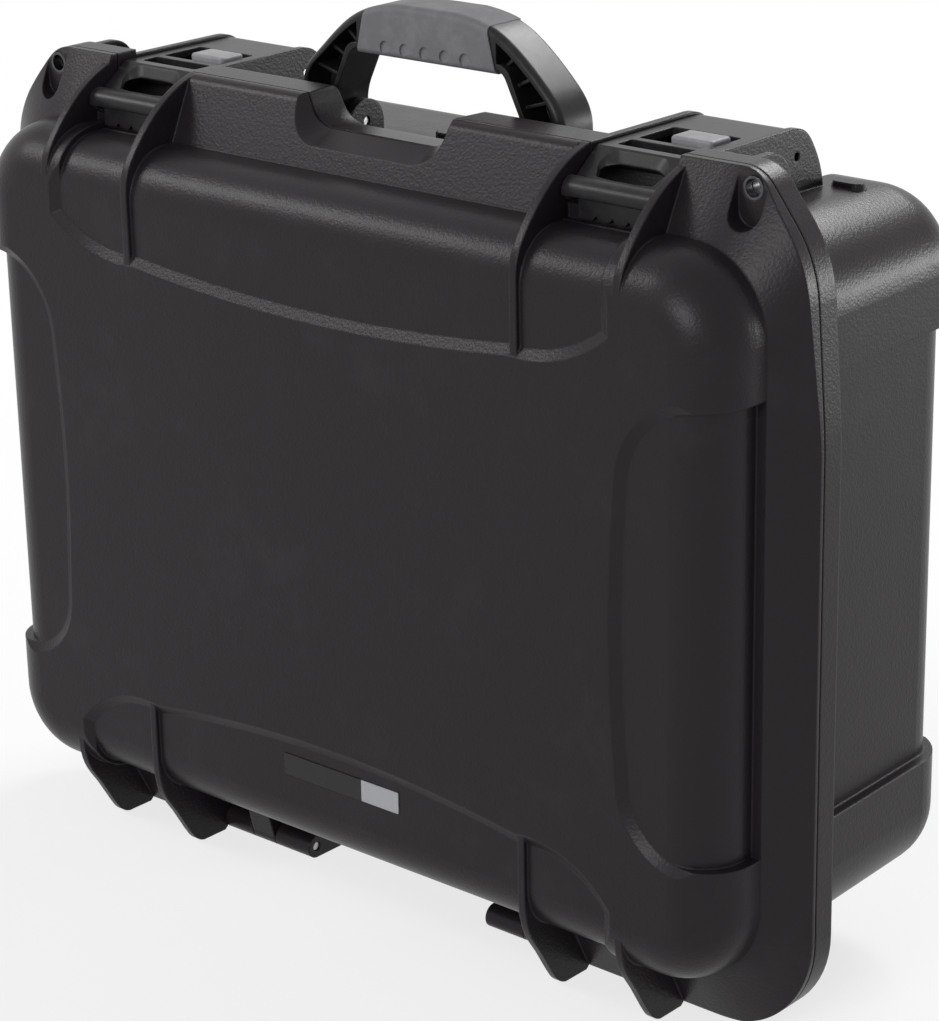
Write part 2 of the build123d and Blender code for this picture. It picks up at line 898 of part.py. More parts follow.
lid_raised = drafted_block(front_facing(-half_gap), forward, lid_depth - half_gap, 0, 0)
lid_core = drafted_block(
    front_facing(half_gap), forward, lid_depth + half_gap - panel_step, side_step, panel_step
)
lid_bands = sunk_layer(rear_facing(-lid_depth), backward, lid_depth, lid_core)
lid_cavity = drafted_block(
    front_facing(half_gap), forward, lid_depth + half_gap - cavity_step, cavity_inset, cavity_step
)
base_raised = drafted_block(rear_facing(half_gap), backward, base_depth - half_gap, 0, 0)
base_core = drafted_block(
    rear_facing(-half_gap), backward, base_depth + half_gap - panel_step, side_step, panel_step
)
base_bands = sunk_layer(front_facing(base_depth), forward, base_depth, base_core)
base_cavity = drafted_block(
    rear_facing(-half_gap), backward, base_depth + half_gap - cavity_step, cavity_inset, cavity_step
)
relief = hinge_relief()

with BuildPart() as lid_rim:
    add(rim_ring(-rim_skirt, -half_gap))
    add(lid_rim_slope(), mode=Mode.INTERSECT)
    add(rim_clearings(lid_shelf_height, (-lid_depth, 0)), mode=Mode.SUBTRACT)

with BuildPart() as base_rim:
    add(rim_ring(half_gap, rim_behind))
    add(rim_clearings(base_shelf_height, (0, wall_behind)), mode=Mode.SUBTRACT)


# Lid shell
with BuildPart() as lid_shell:
    add(lid_raised)
    add(lid_bands, mode=Mode.SUBTRACT)
    add(lid_rim.part)
    with BuildSketch(side_facing(-fin_inner_face)):
        with BuildLine():
            FilletPolyline(
                (-half_gap, sunk_high - wall),
                (-rim_skirt, sunk_high - wall),
                (-rim_skirt, sunk_high),
                (-wall_front, wall_top),
                (-half_gap, wall_top),
                (-half_gap, sunk_high - wall),
                radius=[0, 0, 0, wall_edge_round, 0],
            )
        make_face()
    extrude(amount=2 * fin_inner_face)
    add(dip_cut(front_facing(-half_gap), lid_depth, dip_bevel_front), mode=Mode.SUBTRACT)
    add(fins(lid_fin_outlines()))
    add(relief, mode=Mode.SUBTRACT)
    web_root = sunk_low + root_sink
    lid_web = [(-half_gap, hinge_height), (-hinge_height, hinge_height)]
    lid_web += [(-hinge_web_reach, web_root), (-half_gap, web_root)]
    for sign in sides.values():
        add(knuckle(hinge_gap_inner_x + hinge_side_play, hinge_gap_outer_x - hinge_side_play, sign, lid_web))
    add(lid_cavity, mode=Mode.SUBTRACT)
    add(hinge_round(hinge_pin_radius + running_fit), mode=Mode.SUBTRACT)
    for sign in sides.values():
        with BuildSketch(front_facing(-eye_plate)):
            with Locations((sign * eye_x, eye_height + (eye_pocket_above - eye_pocket_below) / 2)):
                Rectangle(eye_pocket_width, eye_pocket_above + eye_pocket_below)
            with Locations((sign * eye_x, eye_height - eye_pocket_below)):
                Circle(eye_pocket_width / 2)
        extrude(amount=lid_depth, mode=Mode.SUBTRACT)
        with BuildSketch(front_facing(0)):
            with Locations((sign * eye_x, eye_height)):
                Circle(eye_bush_radius)
        extrude(amount=lid_depth, mode=Mode.SUBTRACT)
    with BuildSketch(front_facing(-half_gap)):
        add(gasket_outline())
    extrude(amount=gasket_depth, mode=Mode.SUBTRACT)
    with BuildSketch(front_facing(-(lid_depth - panel_step) + plate_seat)):
        with Locations(((dark_plate_left + pale_plate_right) / 2, plate_low + plate_height / 2)):
            RectangleRounded(pale_plate_right - dark_plate_left, plate_height, plate_corner)
    extrude(amount=panel_step, mode=Mode.SUBTRACT)

lid_shell.part.label = "lid_shell"


# Base shell
with BuildPart() as base_shell:
    add(base_raised)
    add(base_bands, mode=Mode.SUBTRACT)
    add(base_rim.part)
    with BuildSketch(side_facing(-fin_inner_face)):
        with BuildLine():
            FilletPolyline(
                (half_gap, sunk_high - wall),
                (half_gap, wall_top),
                (wall_behind, wall_top),
                (wall_behind, sunk_high - wall),
                (half_gap, sunk_high - wall),
                radius=[0, 0, wall_edge_round, 0],
            )
        make_face()
    extrude(amount=2 * fin_inner_face)
    add(dip_cut(rear_facing(half_gap), 2 * wall_behind, dip_bevel_rear), mode=Mode.SUBTRACT)
    pan_widths = (-handle_pan_half_width, handle_pan_half_width)
    pan_heights = (sunk_high - handle_pan_depth, rim_top)
    add(band_box(pan_widths, (wall_behind, handle_pan_back), pan_heights), mode=Mode.SUBTRACT)
    add(fins(base_fin_outlines()))
    add(corner_ribs())
    add(relief, mode=Mode.SUBTRACT)
    base_web = [(half_gap, 0), (hinge_block_depth, 0)]
    base_web += [(hinge_block_depth, web_root), (half_gap, web_root)]
    for sign in sides.values():
        add(knuckle(hinge_inner_x, hinge_gap_inner_x, sign, base_web))
        add(knuckle(hinge_gap_outer_x, fin_inner_face, sign, base_web))
    for sign in sides.values():
        start, length = mirrored_span(handle_ear_inner, handle_ear_inner + handle_ear_thick, sign)
        with BuildSketch(side_facing(start)):
            with Locations((handle_pivot_back, handle_pivot_height - handle_ear_drop)):
                Circle(handle_ear_radius)
            ear_foot = sunk_high - handle_pan_depth - root_sink
            with Locations((handle_pivot_back, (handle_pivot_height + ear_foot) / 2)):
                Rectangle(2 * handle_ear_radius, handle_pivot_height - ear_foot)
        extrude(amount=length)
        with BuildSketch(side_facing(start)):
            with Locations((handle_pivot_back, handle_pivot_height)):
                Circle(handle_pin_radius + running_fit)
        extrude(amount=length, mode=Mode.SUBTRACT)
        foot_seat = body_high - (foot_back + foot_width) * tan(radians(body_draft))
        with BuildSketch(Plane.XY.offset(foot_seat)):
            with Locations((sign * foot_x, parting_y + foot_back)):
                SlotOverall(foot_length, foot_width)
        extrude(amount=foot_height, taper=foot_lean)
    add(base_cavity, mode=Mode.SUBTRACT)
    add(hinge_round(hinge_pin_radius), mode=Mode.SUBTRACT)
    with BuildSketch(side_facing(-case_width / 2)):
        with Locations((latch_pivot_back, latch_pivot_height)):
            Circle(latch_pin_radius)
    extrude(amount=case_width, mode=Mode.SUBTRACT)
    with BuildSketch(front_facing(2 * rim_behind)):
        with Locations((-eye_x, eye_height), (eye_x, eye_height)):
            Circle(eye_bush_radius)
    extrude(amount=2 * rim_behind, mode=Mode.SUBTRACT)
    with BuildSketch(Plane.XY.offset(sunk_high)):
        with Locations((valve_x, parting_y + valve_back)):
            Circle(valve_stem_radius)
    extrude(amount=-3 * wall, mode=Mode.SUBTRACT)

base_shell.part.label = "base_shell"


# Gasket in the lid's groove; it stands a little proud of the lid and stops short of the base
with BuildPart() as lid_gasket:
    with BuildSketch(front_facing(half_gap - gasket_rest)):
        add(gasket_outline())
    extrude(amount=seam_gap - gasket_rest + gasket_depth)

lid_gasket.part.label = "lid_gasket"


# Foam in the base: a ring with a pocket for the mixer, and a pad behind it
foam_front = foam_play + half_gap
foam_depth = cavity_step + foam_rest
foam_split_back = foam_front + mixer_pocket_depth
whole_foam = drafted_block(
    rear_facing(foam_front), backward, base_depth - foam_depth - foam_front, foam_inset, foam_step
)

with BuildPart() as base_foam:
    add(whole_foam)
    with BuildSketch(rear_facing(foam_split_back)):
        Rectangle(2 * case_width, 2 * rim_top)
    extrude(amount=base_depth, mode=Mode.SUBTRACT)
    with BuildSketch(rear_facing(0)):
        with Locations((0, (body_low + body_high) / 2)):
            RectangleRounded(mixer_pocket_width, mixer_pocket_height, mixer_pocket_corner)
        for sign in sides.values():
            with Locations((sign * mixer_pocket_width / 2, (body_low + body_high) / 2)):
                SlotOverall(finger_notch_length, 2 * finger_notch_radius, rotation=90)
    extrude(amount=base_depth, mode=Mode.SUBTRACT)
    with BuildSketch(Plane.XY.offset(body_high)):
        with Locations((valve_x, parting_y + valve_back)):
            Circle(valve_nut_radius + foam_play)
    extrude(amount=-valve_notch_depth, mode=Mode.SUBTRACT)

base_foam.part.label = "base_foam"

with BuildPart() as floor_pad:
    add(whole_foam)
    with BuildSketch(front_facing(foam_split_back)):
        Rectangle(2 * case_width, 4 * rim_top)
    extrude(amount=base_depth, mode=Mode.SUBTRACT)

floor_pad.part.label = "floor_pad"


# Foam in the lid
with BuildPart() as lid_foam:
    foam_thick = lid_depth - foam_depth - foam_front
    add(drafted_block(front_facing(-foam_front), forward, foam_thick, foam_inset, foam_step))

lid_foam.part.label = "lid_foam"


# Hinge pins, pressed into the base knuckles
hinge_pins = {}
for side, sign in sides.items():
    start, length = mirrored_span(hinge_inner_x + pin_recess, fin_inner_face - pin_recess, sign)
    with BuildPart() as hinge_pin:
        with BuildSketch(side_facing(start)):
            with Locations((0, hinge_height)):
                Circle(hinge_pin_radius)
        extrude(amount=length)
        chamfer(hinge_pin.edges(), length=pin_chamfer)
    hinge_pin.part.label = "hinge_pin_" + side
    hinge_pins[side] = hinge_pin.part


# Handle: frame, soft grip moulded over its bar, and the two pins it turns on
grip_core_low = handle_bar_low + grip_skin
with BuildPart() as grip_core:
    with BuildSketch(front_facing(handle_pivot_back + handle_rear_reach - grip_skin)):
        with Locations((0, (grip_core_low + handle_crown_height - grip_top_skin) / 2)):
            Rectangle(2 * (grip_half_length + grip_slant), handle_bar_height - grip_skin - grip_top_skin)
    extrude(amount=handle_front_reach + handle_rear_reach - 2 * grip_skin)

with BuildPart() as handle_frame:
    add(handle_blank())
    add(handle_pockets(), mode=Mode.SUBTRACT)
    add(grip_seat(), mode=Mode.SUBTRACT)
    add(grip_core.part)
    for sign in sides.values():
        start, length = mirrored_span(handle_half_width - handle_leg_width, handle_pin_end, sign)
        with BuildSketch(side_facing(start)):
            with Locations((handle_pivot_back, handle_pivot_height)):
                Circle(handle_pin_radius)
        extrude(amount=length, mode=Mode.SUBTRACT)

handle_frame.part.label = "handle_frame"

with BuildPart() as handle_grip:
    add(grip_blank())
    add(grip_core.part, mode=Mode.SUBTRACT)
    for hollow in range(grip_hollow_count):
        face = Plane(
            origin=(
                (hollow - (grip_hollow_count - 1) / 2) * grip_hollow_pitch,
                parting_y + handle_pivot_back - handle_front_reach - grip_proud + grip_hollow_depth,
                grip_hollow_height,
            ),
            x_dir=(1, -grip_hollow_lean, 0),
            z_dir=(-grip_hollow_lean, -1, grip_hollow_lean),
        )
        with BuildSketch(face):
            Circle(grip_hollow_radius)
        extrude(amount=2 * grip_hollow_radius, mode=Mode.SUBTRACT)

handle_grip.part.label = "handle_grip"

handle_pins = {}
for side, sign in sides.items():
    start, length = mirrored_span(handle_ear_inner + pin_recess, handle_pin_end, sign)
    with BuildPart() as handle_pin:
        with BuildSketch(side_facing(start)):
            with Locations((handle_pivot_back, handle_pivot_height)):
                Circle(handle_pin_radius)
        extrude(amount=length)
    handle_pin.part.label = "handle_pin_" + side
    handle_pins[side] = handle_pin.part


# Latches: an arm, the claw under its front, a sliding lock and two pins for each side
latch_arms = {}
latch_claws = {}
latch_locks = {}
latch_pivot_pins = {}
latch_claw_pins = {}
for side, sign in sides.items():
    centre = sign * latch_centre_x
    left_edge = centre - latch_width / 2
    with BuildPart() as latch_arm:
        with BuildSketch(side_facing(left_edge)):
            add(latch_plate_outline())
        extrude(amount=latch_width)
        for start in (left_edge, left_edge + latch_width - latch_side_wall):
            with BuildSketch(side_facing(start)):
                add(latch_side_outline())
            extrude(amount=latch_side_wall)
        with BuildSketch(side_facing(left_edge)):
            with Locations(((front_window_start + front_window_end) / 2, cross_bar_height)):
                Circle(cross_bar_radius)
        extrude(amount=latch_width)
        with Locations((centre, 0, 0)):
            add(finger_slot(), mode=Mode.SUBTRACT)
        for window in ((front_window_start, front_window_end), (lock_window_start, lock_window_end)):
            with BuildSketch(Plane.XY.offset(latch_under_plate)):
                with Locations((centre, parting_y + sum(window) / 2)):
                    RectangleRounded(2 * latch_window_half_width, window[1] - window[0], window_corner)
            extrude(amount=2 * latch_plate, mode=Mode.SUBTRACT)
        with BuildSketch(side_facing(left_edge)):
            with Locations((latch_pivot_back, latch_pivot_height)):
                Circle(latch_pin_radius + running_fit)
            with Locations((claw_back, claw_height)):
                Circle(claw_pin_radius)
        extrude(amount=latch_width, mode=Mode.SUBTRACT)
    latch_arm.part.label = "latch_arm_" + side
    latch_arms[side] = latch_arm.part

    with BuildPart() as latch_claw:
        with BuildSketch(side_facing(centre - claw_half_width)):
            with Locations((claw_back, claw_height)):
                Circle(claw_barrel_radius)
            with BuildLine():
                Polyline(
                    (claw_front, claw_height),
                    (claw_front, claw_tip_height),
                    (claw_rear, claw_tip_height),
                    (claw_rear, claw_height - claw_barrel_radius),
                    (claw_back, claw_height),
                    (claw_front, claw_height),
                )
            make_face()
            with Locations((claw_back, claw_height)):
                Circle(claw_pin_radius + running_fit, mode=Mode.SUBTRACT)
        extrude(amount=2 * claw_half_width)
        with BuildSketch(front_facing(claw_rear)):
            for step in (-1, 0, 1):
                with Locations((centre + step * claw_notch_pitch, claw_tip_height)):
                    Rectangle(claw_notch_width, claw_notch_width, rotation=45)
        extrude(amount=latch_lip_radius, mode=Mode.SUBTRACT)
    latch_claw.part.label = "latch_claw_" + side
    latch_claws[side] = latch_claw.part

    with BuildPart() as latch_lock:
        lock_middle = (centre + lock_shift, parting_y + (lock_window_start + lock_window_end) / 2)
        foot_top = latch_under_plate - slide_play
        with BuildSketch(Plane.XY.offset(foot_top - lock_foot_thick)):
            with Locations(lock_middle):
                Rectangle(lock_foot_width, lock_foot_length)
        extrude(amount=lock_foot_thick)
        with BuildSketch(Plane.XY.offset(foot_top)):
            with Locations(lock_middle):
                RectangleRounded(lock_length, lock_width, window_corner)
        extrude(amount=latch_top + lock_rise - foot_top)
        fillet(latch_lock.faces().sort_by(Axis.Z)[-1].edges(), radius=lock_round)
    latch_lock.part.label = "latch_lock_" + side
    latch_locks[side] = latch_lock.part

    start, length = mirrored_span(fin_inner_face, fin_outer_face, sign)
    with BuildPart() as latch_pivot_pin:
        with BuildSketch(side_facing(start)):
            with Locations((latch_pivot_back, latch_pivot_height)):
                Circle(latch_pin_radius)
        extrude(amount=length)
    latch_pivot_pin.part.label = "latch_pivot_pin_" + side
    latch_pivot_pins[side] = latch_pivot_pin.part

    with BuildPart() as latch_claw_pin:
        with BuildSketch(side_facing(left_edge)):
            with Locations((claw_back, claw_height)):
                Circle(claw_pin_radius)
        extrude(amount=latch_width)
    latch_claw_pin.part.label = "latch_claw_pin_" + side
    latch_claw_pins[side] = latch_claw_pin.part


# Pressure valve in the base top: body, cap and the nut that holds it from inside
valve_place = (valve_x, parting_y + valve_back)
valve_seat = sunk_high - handle_pan_depth
valve_inside = sunk_high - wall - (valve_back + valve_nut_radius) * tan(radians(body_draft))
with BuildPart() as valve_body:
    with BuildSketch(Plane.XY.offset(valve_seat)):
        with Locations(valve_place):
            Circle(valve_flange_radius)
    extrude(amount=valve_flange_thick)
    with BuildSketch(Plane.XY.offset(valve_seat)):
        with Locations(valve_place):
            Circle(valve_stem_radius)
    extrude(amount=valve_inside - valve_nut_thick - valve_seat)
    with BuildSketch(Plane.XY.offset(valve_seat + valve_flange_thick)):
        with Locations(valve_place):
            Circle(valve_bore_radius)
    extrude(amount=-3 * wall, mode=Mode.SUBTRACT)

valve_body.part.label = "valve_body"

with BuildPart() as valve_cap:
    with BuildSketch(Plane.XY.offset(valve_seat + valve_flange_thick)):
        with Locations(valve_place):
            Circle(valve_cap_radius)
            with PolarLocations(valve_cap_radius, valve_flute_count):
                Circle(valve_flute_radius, mode=Mode.SUBTRACT)
    extrude(amount=valve_cap_height)
    chamfer(valve_cap.faces().sort_by(Axis.Z)[-1].edges(), length=pin_chamfer)

valve_cap.part.label = "valve_cap"

with BuildPart() as valve_nut:
    with BuildSketch(Plane.XY.offset(valve_inside - valve_nut_thick)):
        with Locations(valve_place):
            RegularPolygon(valve_nut_radius, 6)
            Circle(valve_stem_radius, mode=Mode.SUBTRACT)
    extrude(amount=valve_nut_thick)

valve_nut.part.label = "valve_nut"


# Steel bushes that line the padlock eyes
lid_bushes = {}
base_bushes = {}
for side, sign in sides.items():
    with BuildPart() as lid_bush:
        with BuildSketch(front_facing(-half_gap)):
            with Locations((sign * eye_x, eye_height)):
                Circle(eye_bush_radius)
                Circle(eye_radius, mode=Mode.SUBTRACT)
        extrude(amount=eye_plate - half_gap)
    lid_bush.part.label = "lid_padlock_bush_" + side
    lid_bushes[side] = lid_bush.part

    with BuildPart() as base_bush:
        with BuildSketch(rear_facing(half_gap)):
            with Locations((-sign * eye_x, eye_height)):
                Circle(eye_bush_radius)
                Circle(eye_radius, mode=Mode.SUBTRACT)
        extrude(amount=rim_behind - half_gap)
    base_bush.part.label = "base_padlock_bush_" + side
    base_bushes[side] = base_bush.part


# Bare plates glued in their shallow seat on the lid
plate_seat_back = -(lid_depth - panel_step) + plate_seat
with BuildPart() as dark_plate:
    with BuildSketch(front_facing(plate_seat_back)):
        with Locations(((dark_plate_left + dark_plate_right) / 2, plate_low + plate_height / 2)):
            Rectangle(dark_plate_right - dark_plate_left, plate_height)
    extrude(amount=plate_thick)
    left_edges = dark_plate.edges().filter_by(Axis.Y).group_by(Axis.X)[0]
    fillet(left_edges, radius=plate_corner)

dark_plate.part.label = "dark_plate"

with BuildPart() as pale_plate:
    with BuildSketch(front_facing(plate_seat_back)):
        with Locations(((dark_plate_right + pale_plate_right) / 2, plate_low + plate_height / 2)):
            Rectangle(pale_plate_right - dark_plate_right, plate_height)
    extrude(amount=plate_thick)
    right_edges = pale_plate.edges().filter_by(Axis.Y).group_by(Axis.X)[-1]
    fillet(right_edges, radius=plate_corner)

pale_plate.part.label = "pale_plate"


os.makedirs("parts", exist_ok=True)
export_step(lid_shell.part, "parts/lid_shell.step")
export_step(lid_gasket.part, "parts/lid_gasket.step")
export_step(lid_foam.part, "parts/lid_foam.step")
export_step(dark_plate.part, "parts/dark_plate.step")
export_step(pale_plate.part, "parts/pale_plate.step")
export_step(base_shell.part, "parts/base_shell.step")
export_step(base_foam.part, "parts/base_foam.step")
export_step(floor_pad.part, "parts/floor_pad.step")
export_step(valve_body.part, "parts/valve_body.step")
export_step(valve_cap.part, "parts/valve_cap.step")
export_step(valve_nut.part, "parts/valve_nut.step")
export_step(handle_frame.part, "parts/handle_frame.step")
export_step(handle_grip.part, "parts/handle_grip.step")
for side in sides:
    export_step(hinge_pins[side], "parts/hinge_pin_" + side + ".step")
    export_step(handle_pins[side], "parts/handle_pin_" + side + ".step")
    export_step(latch_arms[side], "parts/latch_arm_" + side + ".step")
    export_step(latch_claws[side], "parts/latch_claw_" + side + ".step")
    export_step(latch_locks[side], "parts/latch_lock_" + side + ".step")
    export_step(latch_pivot_pins[side], "parts/latch_pivot_pin_" + side + ".step")
    export_step(latch_claw_pins[side], "parts/latch_claw_pin_" + side + ".step")
    export_step(lid_bushes[side], "parts/lid_padlock_bush_" + side + ".step")
    export_step(base_bushes[side], "parts/base_padlock_bush_" + side + ".step")
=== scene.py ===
"""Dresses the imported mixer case: finishes for its CAD pieces, its foam, and a plain studio round it."""

import logging
import math
from dataclasses import dataclass, field
from enum import Enum
from typing import Callable, Optional, Union

import bpy
from mathutils import Matrix, Vector


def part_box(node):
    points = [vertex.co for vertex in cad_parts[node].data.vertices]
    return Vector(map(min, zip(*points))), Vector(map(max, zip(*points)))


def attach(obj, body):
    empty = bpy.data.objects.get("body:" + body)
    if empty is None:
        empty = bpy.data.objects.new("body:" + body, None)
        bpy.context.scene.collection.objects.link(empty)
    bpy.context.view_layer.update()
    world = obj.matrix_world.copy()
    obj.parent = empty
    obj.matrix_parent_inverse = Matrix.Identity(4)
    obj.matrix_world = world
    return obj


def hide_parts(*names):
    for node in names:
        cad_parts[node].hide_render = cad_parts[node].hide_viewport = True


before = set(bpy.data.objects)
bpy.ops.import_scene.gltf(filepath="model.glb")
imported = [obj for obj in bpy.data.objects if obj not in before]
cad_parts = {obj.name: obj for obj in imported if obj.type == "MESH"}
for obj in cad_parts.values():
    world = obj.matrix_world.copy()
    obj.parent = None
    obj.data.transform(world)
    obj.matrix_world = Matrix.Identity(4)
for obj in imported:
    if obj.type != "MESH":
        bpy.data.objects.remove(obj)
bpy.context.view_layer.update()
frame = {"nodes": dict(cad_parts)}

log = logging.getLogger("mixer_case")

Number = Union[int, float]
Colour = tuple[float, float, float]
Corner = tuple[float, float, float]

# Metres within which two points count as level.
SAME_PLACE = 1e-4
# Metres by which a cutter runs past what it cuts.
PAST_EDGE = 0.01
# Rays that look for a softened edge.
EDGE_SAMPLES = 6


class Side(Enum):
    """Side of the case, as its sign along x."""

    LEFT = -1
    RIGHT = 1


class Socket:
    """One output socket of a shader node, with Python's operators for its arithmetic."""

    def __init__(self, graph: "NodeGraph", output: bpy.types.NodeSocket) -> None:
        """Wraps an output socket.

        Args:
            graph: the graph that the socket's node belongs to.
            output: the socket itself.
        """
        self.graph = graph
        self.output = output

    def _with(self, operation: str, first: "Operand", second: "Operand") -> "Socket":
        """Adds a Math node for two operands and returns its result."""
        return self.graph.node("ShaderNodeMath", {"operation": operation}, {0: first, 1: second})

    def __add__(self, other: "Operand") -> "Socket":
        """Sum."""
        return self._with("ADD", self, other)

    def __radd__(self, other: "Operand") -> "Socket":
        """Sum, with the number first."""
        return self._with("ADD", other, self)

    def __sub__(self, other: "Operand") -> "Socket":
        """Difference."""
        return self._with("SUBTRACT", self, other)

    def __rsub__(self, other: "Operand") -> "Socket":
        """Difference, with the number first."""
        return self._with("SUBTRACT", other, self)

    def __mul__(self, other: "Operand") -> "Socket":
        """Product."""
        return self._with("MULTIPLY", self, other)

    def __rmul__(self, other: "Operand") -> "Socket":
        """Product, with the number first."""
        return self._with("MULTIPLY", other, self)

    def larger(self, other: "Operand") -> "Socket":
        """The larger of two values."""
        return self._with("MAXIMUM", self, other)

    def band(self, low: Number, high: Number) -> "Socket":
        """Rises smoothly from 0 at low to 1 at high.

        Args:
            low: the value where the result starts to rise.
            high: the value where it reaches 1.

        Returns:
            A socket between 0 and 1.
        """
        settings = {"interpolation_type": "SMOOTHSTEP", "clamp": True}
        return self.graph.node("ShaderNodeMapRange", settings, {"Value": self, "From Min": low, "From Max": high})


Operand = Union[Number, Socket]


@dataclass(frozen=True)
class Noise:
    """Make-up of a soft noise: feature size in metres, octaves, their strength, and stretch by axis."""

    feature: float
    detail: float = 2.0
    roughness: float = 0.5
    stretch: Corner = (1.0, 1.0, 1.0)


@dataclass(frozen=True)
class Relief:
    """Depth of a raised surface in metres, and how strongly it shows."""

    depth: float
    strength: float


class NodeGraph:
    """Node graph of a material or of the world."""

    def __init__(self, tree: bpy.types.NodeTree) -> None:
        """Empties a node tree.

        Args:
            tree: the tree that the nodes go into.
        """
        self.tree = tree
        self.tree.nodes.clear()

    def node(self, kind: str, settings: Optional[dict] = None, sockets: Optional[dict] = None,
             output: Union[int, str] = 0) -> Socket:
        """Adds a node.

        Args:
            kind: the node's type.
            settings: properties that are set before its sockets.
            sockets: a value or a link for each input, by name or number.
            output: which output to return.

        Returns:
            The chosen output, wrapped.
        """
        made = self.tree.nodes.new(kind)
        for key, value in (settings or {}).items():
            setattr(made, key, value)
        for key, value in (sockets or {}).items():
            self._feed(made.inputs[key], value)
        return Socket(self, made.outputs[output])

    def end(self, kind: str, surface: Socket) -> None:
        """Adds the output node.

        Args:
            kind: the node's type.
            surface: the shader that it shows.
        """
        self._feed(self.tree.nodes.new(kind).inputs["Surface"], surface)

    def _feed(self, target: bpy.types.NodeSocket, value: object) -> None:
        """Links or sets one input socket.

        Args:
            target: the input socket.
            value: a wrapped socket to link, or the value that it gets.
        """
        if isinstance(value, Socket):
            self.tree.links.new(value.output, target)
        elif isinstance(value, tuple) and len(value) == 3 and target.type == "RGBA":
            target.default_value = (*value, 1.0)
        else:
            target.default_value = value

    def place(self) -> Socket:
        """Position on the piece, in metres."""
        return self.node("ShaderNodeTexCoord", output="Object")

    def shown(self) -> Socket:
        """Mask that is 1 for rays that show the background and 0 for those that light the case.

        Returns:
            The mask.
        """
        seen, mirrored, through = (
            self.node("ShaderNodeLightPath", output=name)
            for name in ("Is Camera Ray", "Is Glossy Ray", "Is Transmission Ray")
        )
        return seen.larger(mirrored).larger(through)

    def blended(self, share: Socket, first: Socket, second: Socket) -> Socket:
        """Mixes two shaders.

        Args:
            share: how much of the second shows.
            first: the shader at 0.
            second: the shader at 1.

        Returns:
            The mixed shader.
        """
        return self.node("ShaderNodeMixShader", None, {"Fac": share, 1: first, 2: second})


class MaterialGraph(NodeGraph):
    """Node graph of one material."""

    def __init__(self, name: str) -> None:
        """Makes an empty material.

        Args:
            name: the material's name.
        """
        self.material = bpy.data.materials.new(name)
        self.material.use_nodes = True
        super().__init__(self.material.node_tree)

    def noise(self, noise: Noise) -> Socket:
        """Soft noise about 0.5.

        Args:
            noise: its make-up.

        Returns:
            A value about 0.5.
        """
        mapped = self.node("ShaderNodeMapping", None, {"Vector": self.place(), "Scale": noise.stretch})
        sockets = {
            "Vector": mapped,
            "Scale": 1.0 / noise.feature,
            "Detail": noise.detail,
            "Roughness": noise.roughness,
        }
        return self.node("ShaderNodeTexNoise", {"noise_dimensions": "3D"}, sockets)

    def cells(self, feature: float) -> Socket:
        """Distance to the nearest centre of irregular cells.

        Args:
            feature: size of a cell, in metres.

        Returns:
            0 at a cell's centre, about 0.7 at its corners.
        """
        sockets = {"Vector": self.place(), "Scale": 1.0 / feature}
        return self.node("ShaderNodeTexVoronoi", {"feature": "F1"}, sockets)

    def tint(self, mask: Operand, plain: Colour, other: Colour) -> Socket:
        """Mixes two colours by a mask."""
        sockets = {"Factor": mask, 6: plain, 7: other}
        return self.node("ShaderNodeMix", {"data_type": "RGBA"}, sockets, output=2)

    def rounded(self, radius: float) -> Socket:
        """Normal with sharp edges softened over a radius in metres."""
        return self.node("ShaderNodeBevel", {"samples": EDGE_SAMPLES}, {"Radius": radius})

    def bump(self, height: Operand, relief: Relief, normal: Optional[Socket] = None) -> Socket:
        """Raises the surface.

        Args:
            height: the surface's height, from 0 to 1.
            relief: how deep it is and how strongly it shows.
            normal: the normal it starts from.

        Returns:
            A normal.
        """
        sockets: dict = {"Height": height, "Distance": relief.depth, "Strength": relief.strength}
        if normal is not None:
            sockets["Normal"] = normal
        return self.node("ShaderNodeBump", None, sockets)

    def principled(self, **sockets: object) -> Socket:
        """Adds the shader.

        Args:
            **sockets: values or links by socket name, with _ for a space.

        Returns:
            The shader.
        """
        named = {key.replace("_", " "): value for key, value in sockets.items()}
        return self.node("ShaderNodeBsdfPrincipled", None, named)

    def finish(self, shader: Socket) -> bpy.types.Material:
        """Shows a shader and returns the finished material."""
        self.end("ShaderNodeOutputMaterial", shader)
        return self.material


@dataclass(frozen=True)
class TexturedPlastic:
    """Moulded plastic with a fine eroded grain, and patches rubbed a little lighter at random."""

    name: str
    colour: Colour
    rubbed: Colour
    roughness: float = 0.33
    index: float = 1.26
    clouds: Noise = Noise(0.09, 3.0)
    smudges: Noise = Noise(0.02, 4.0, 0.65)
    grain: Noise = Noise(0.0011, 1.5, 0.4)
    pit: float = 0.00176
    pit_share: float = 0.35
    rubbed_band: tuple[float, float] = (0.25, 0.42)
    rubbed_share: float = 0.3
    polish: float = 0.05
    smudges_dull: float = 0.08
    grain_dulls: float = 0.05
    relief: Relief = Relief(0.00018, 0.75)
    edge_radius: float = 0.0014

    def build(self) -> bpy.types.Material:
        """Makes the material.

        Returns:
            The material.
        """
        graph = MaterialGraph(self.name)
        smudge = graph.noise(self.smudges)
        grain = graph.noise(self.grain)
        height = grain * (1 - self.pit_share) + graph.cells(self.pit) * self.pit_share
        rub = (smudge * graph.noise(self.clouds)).band(*self.rubbed_band)
        colour = graph.tint((rub + grain) * self.rubbed_share, self.colour, self.rubbed)
        roughness = self.roughness - self.polish + smudge * self.smudges_dull + height * self.grain_dulls
        normal = graph.bump(height, self.relief, graph.rounded(self.edge_radius))
        shader = graph.principled(Base_Color=colour, Roughness=roughness, Normal=normal, IOR=self.index)
        return graph.finish(shader)


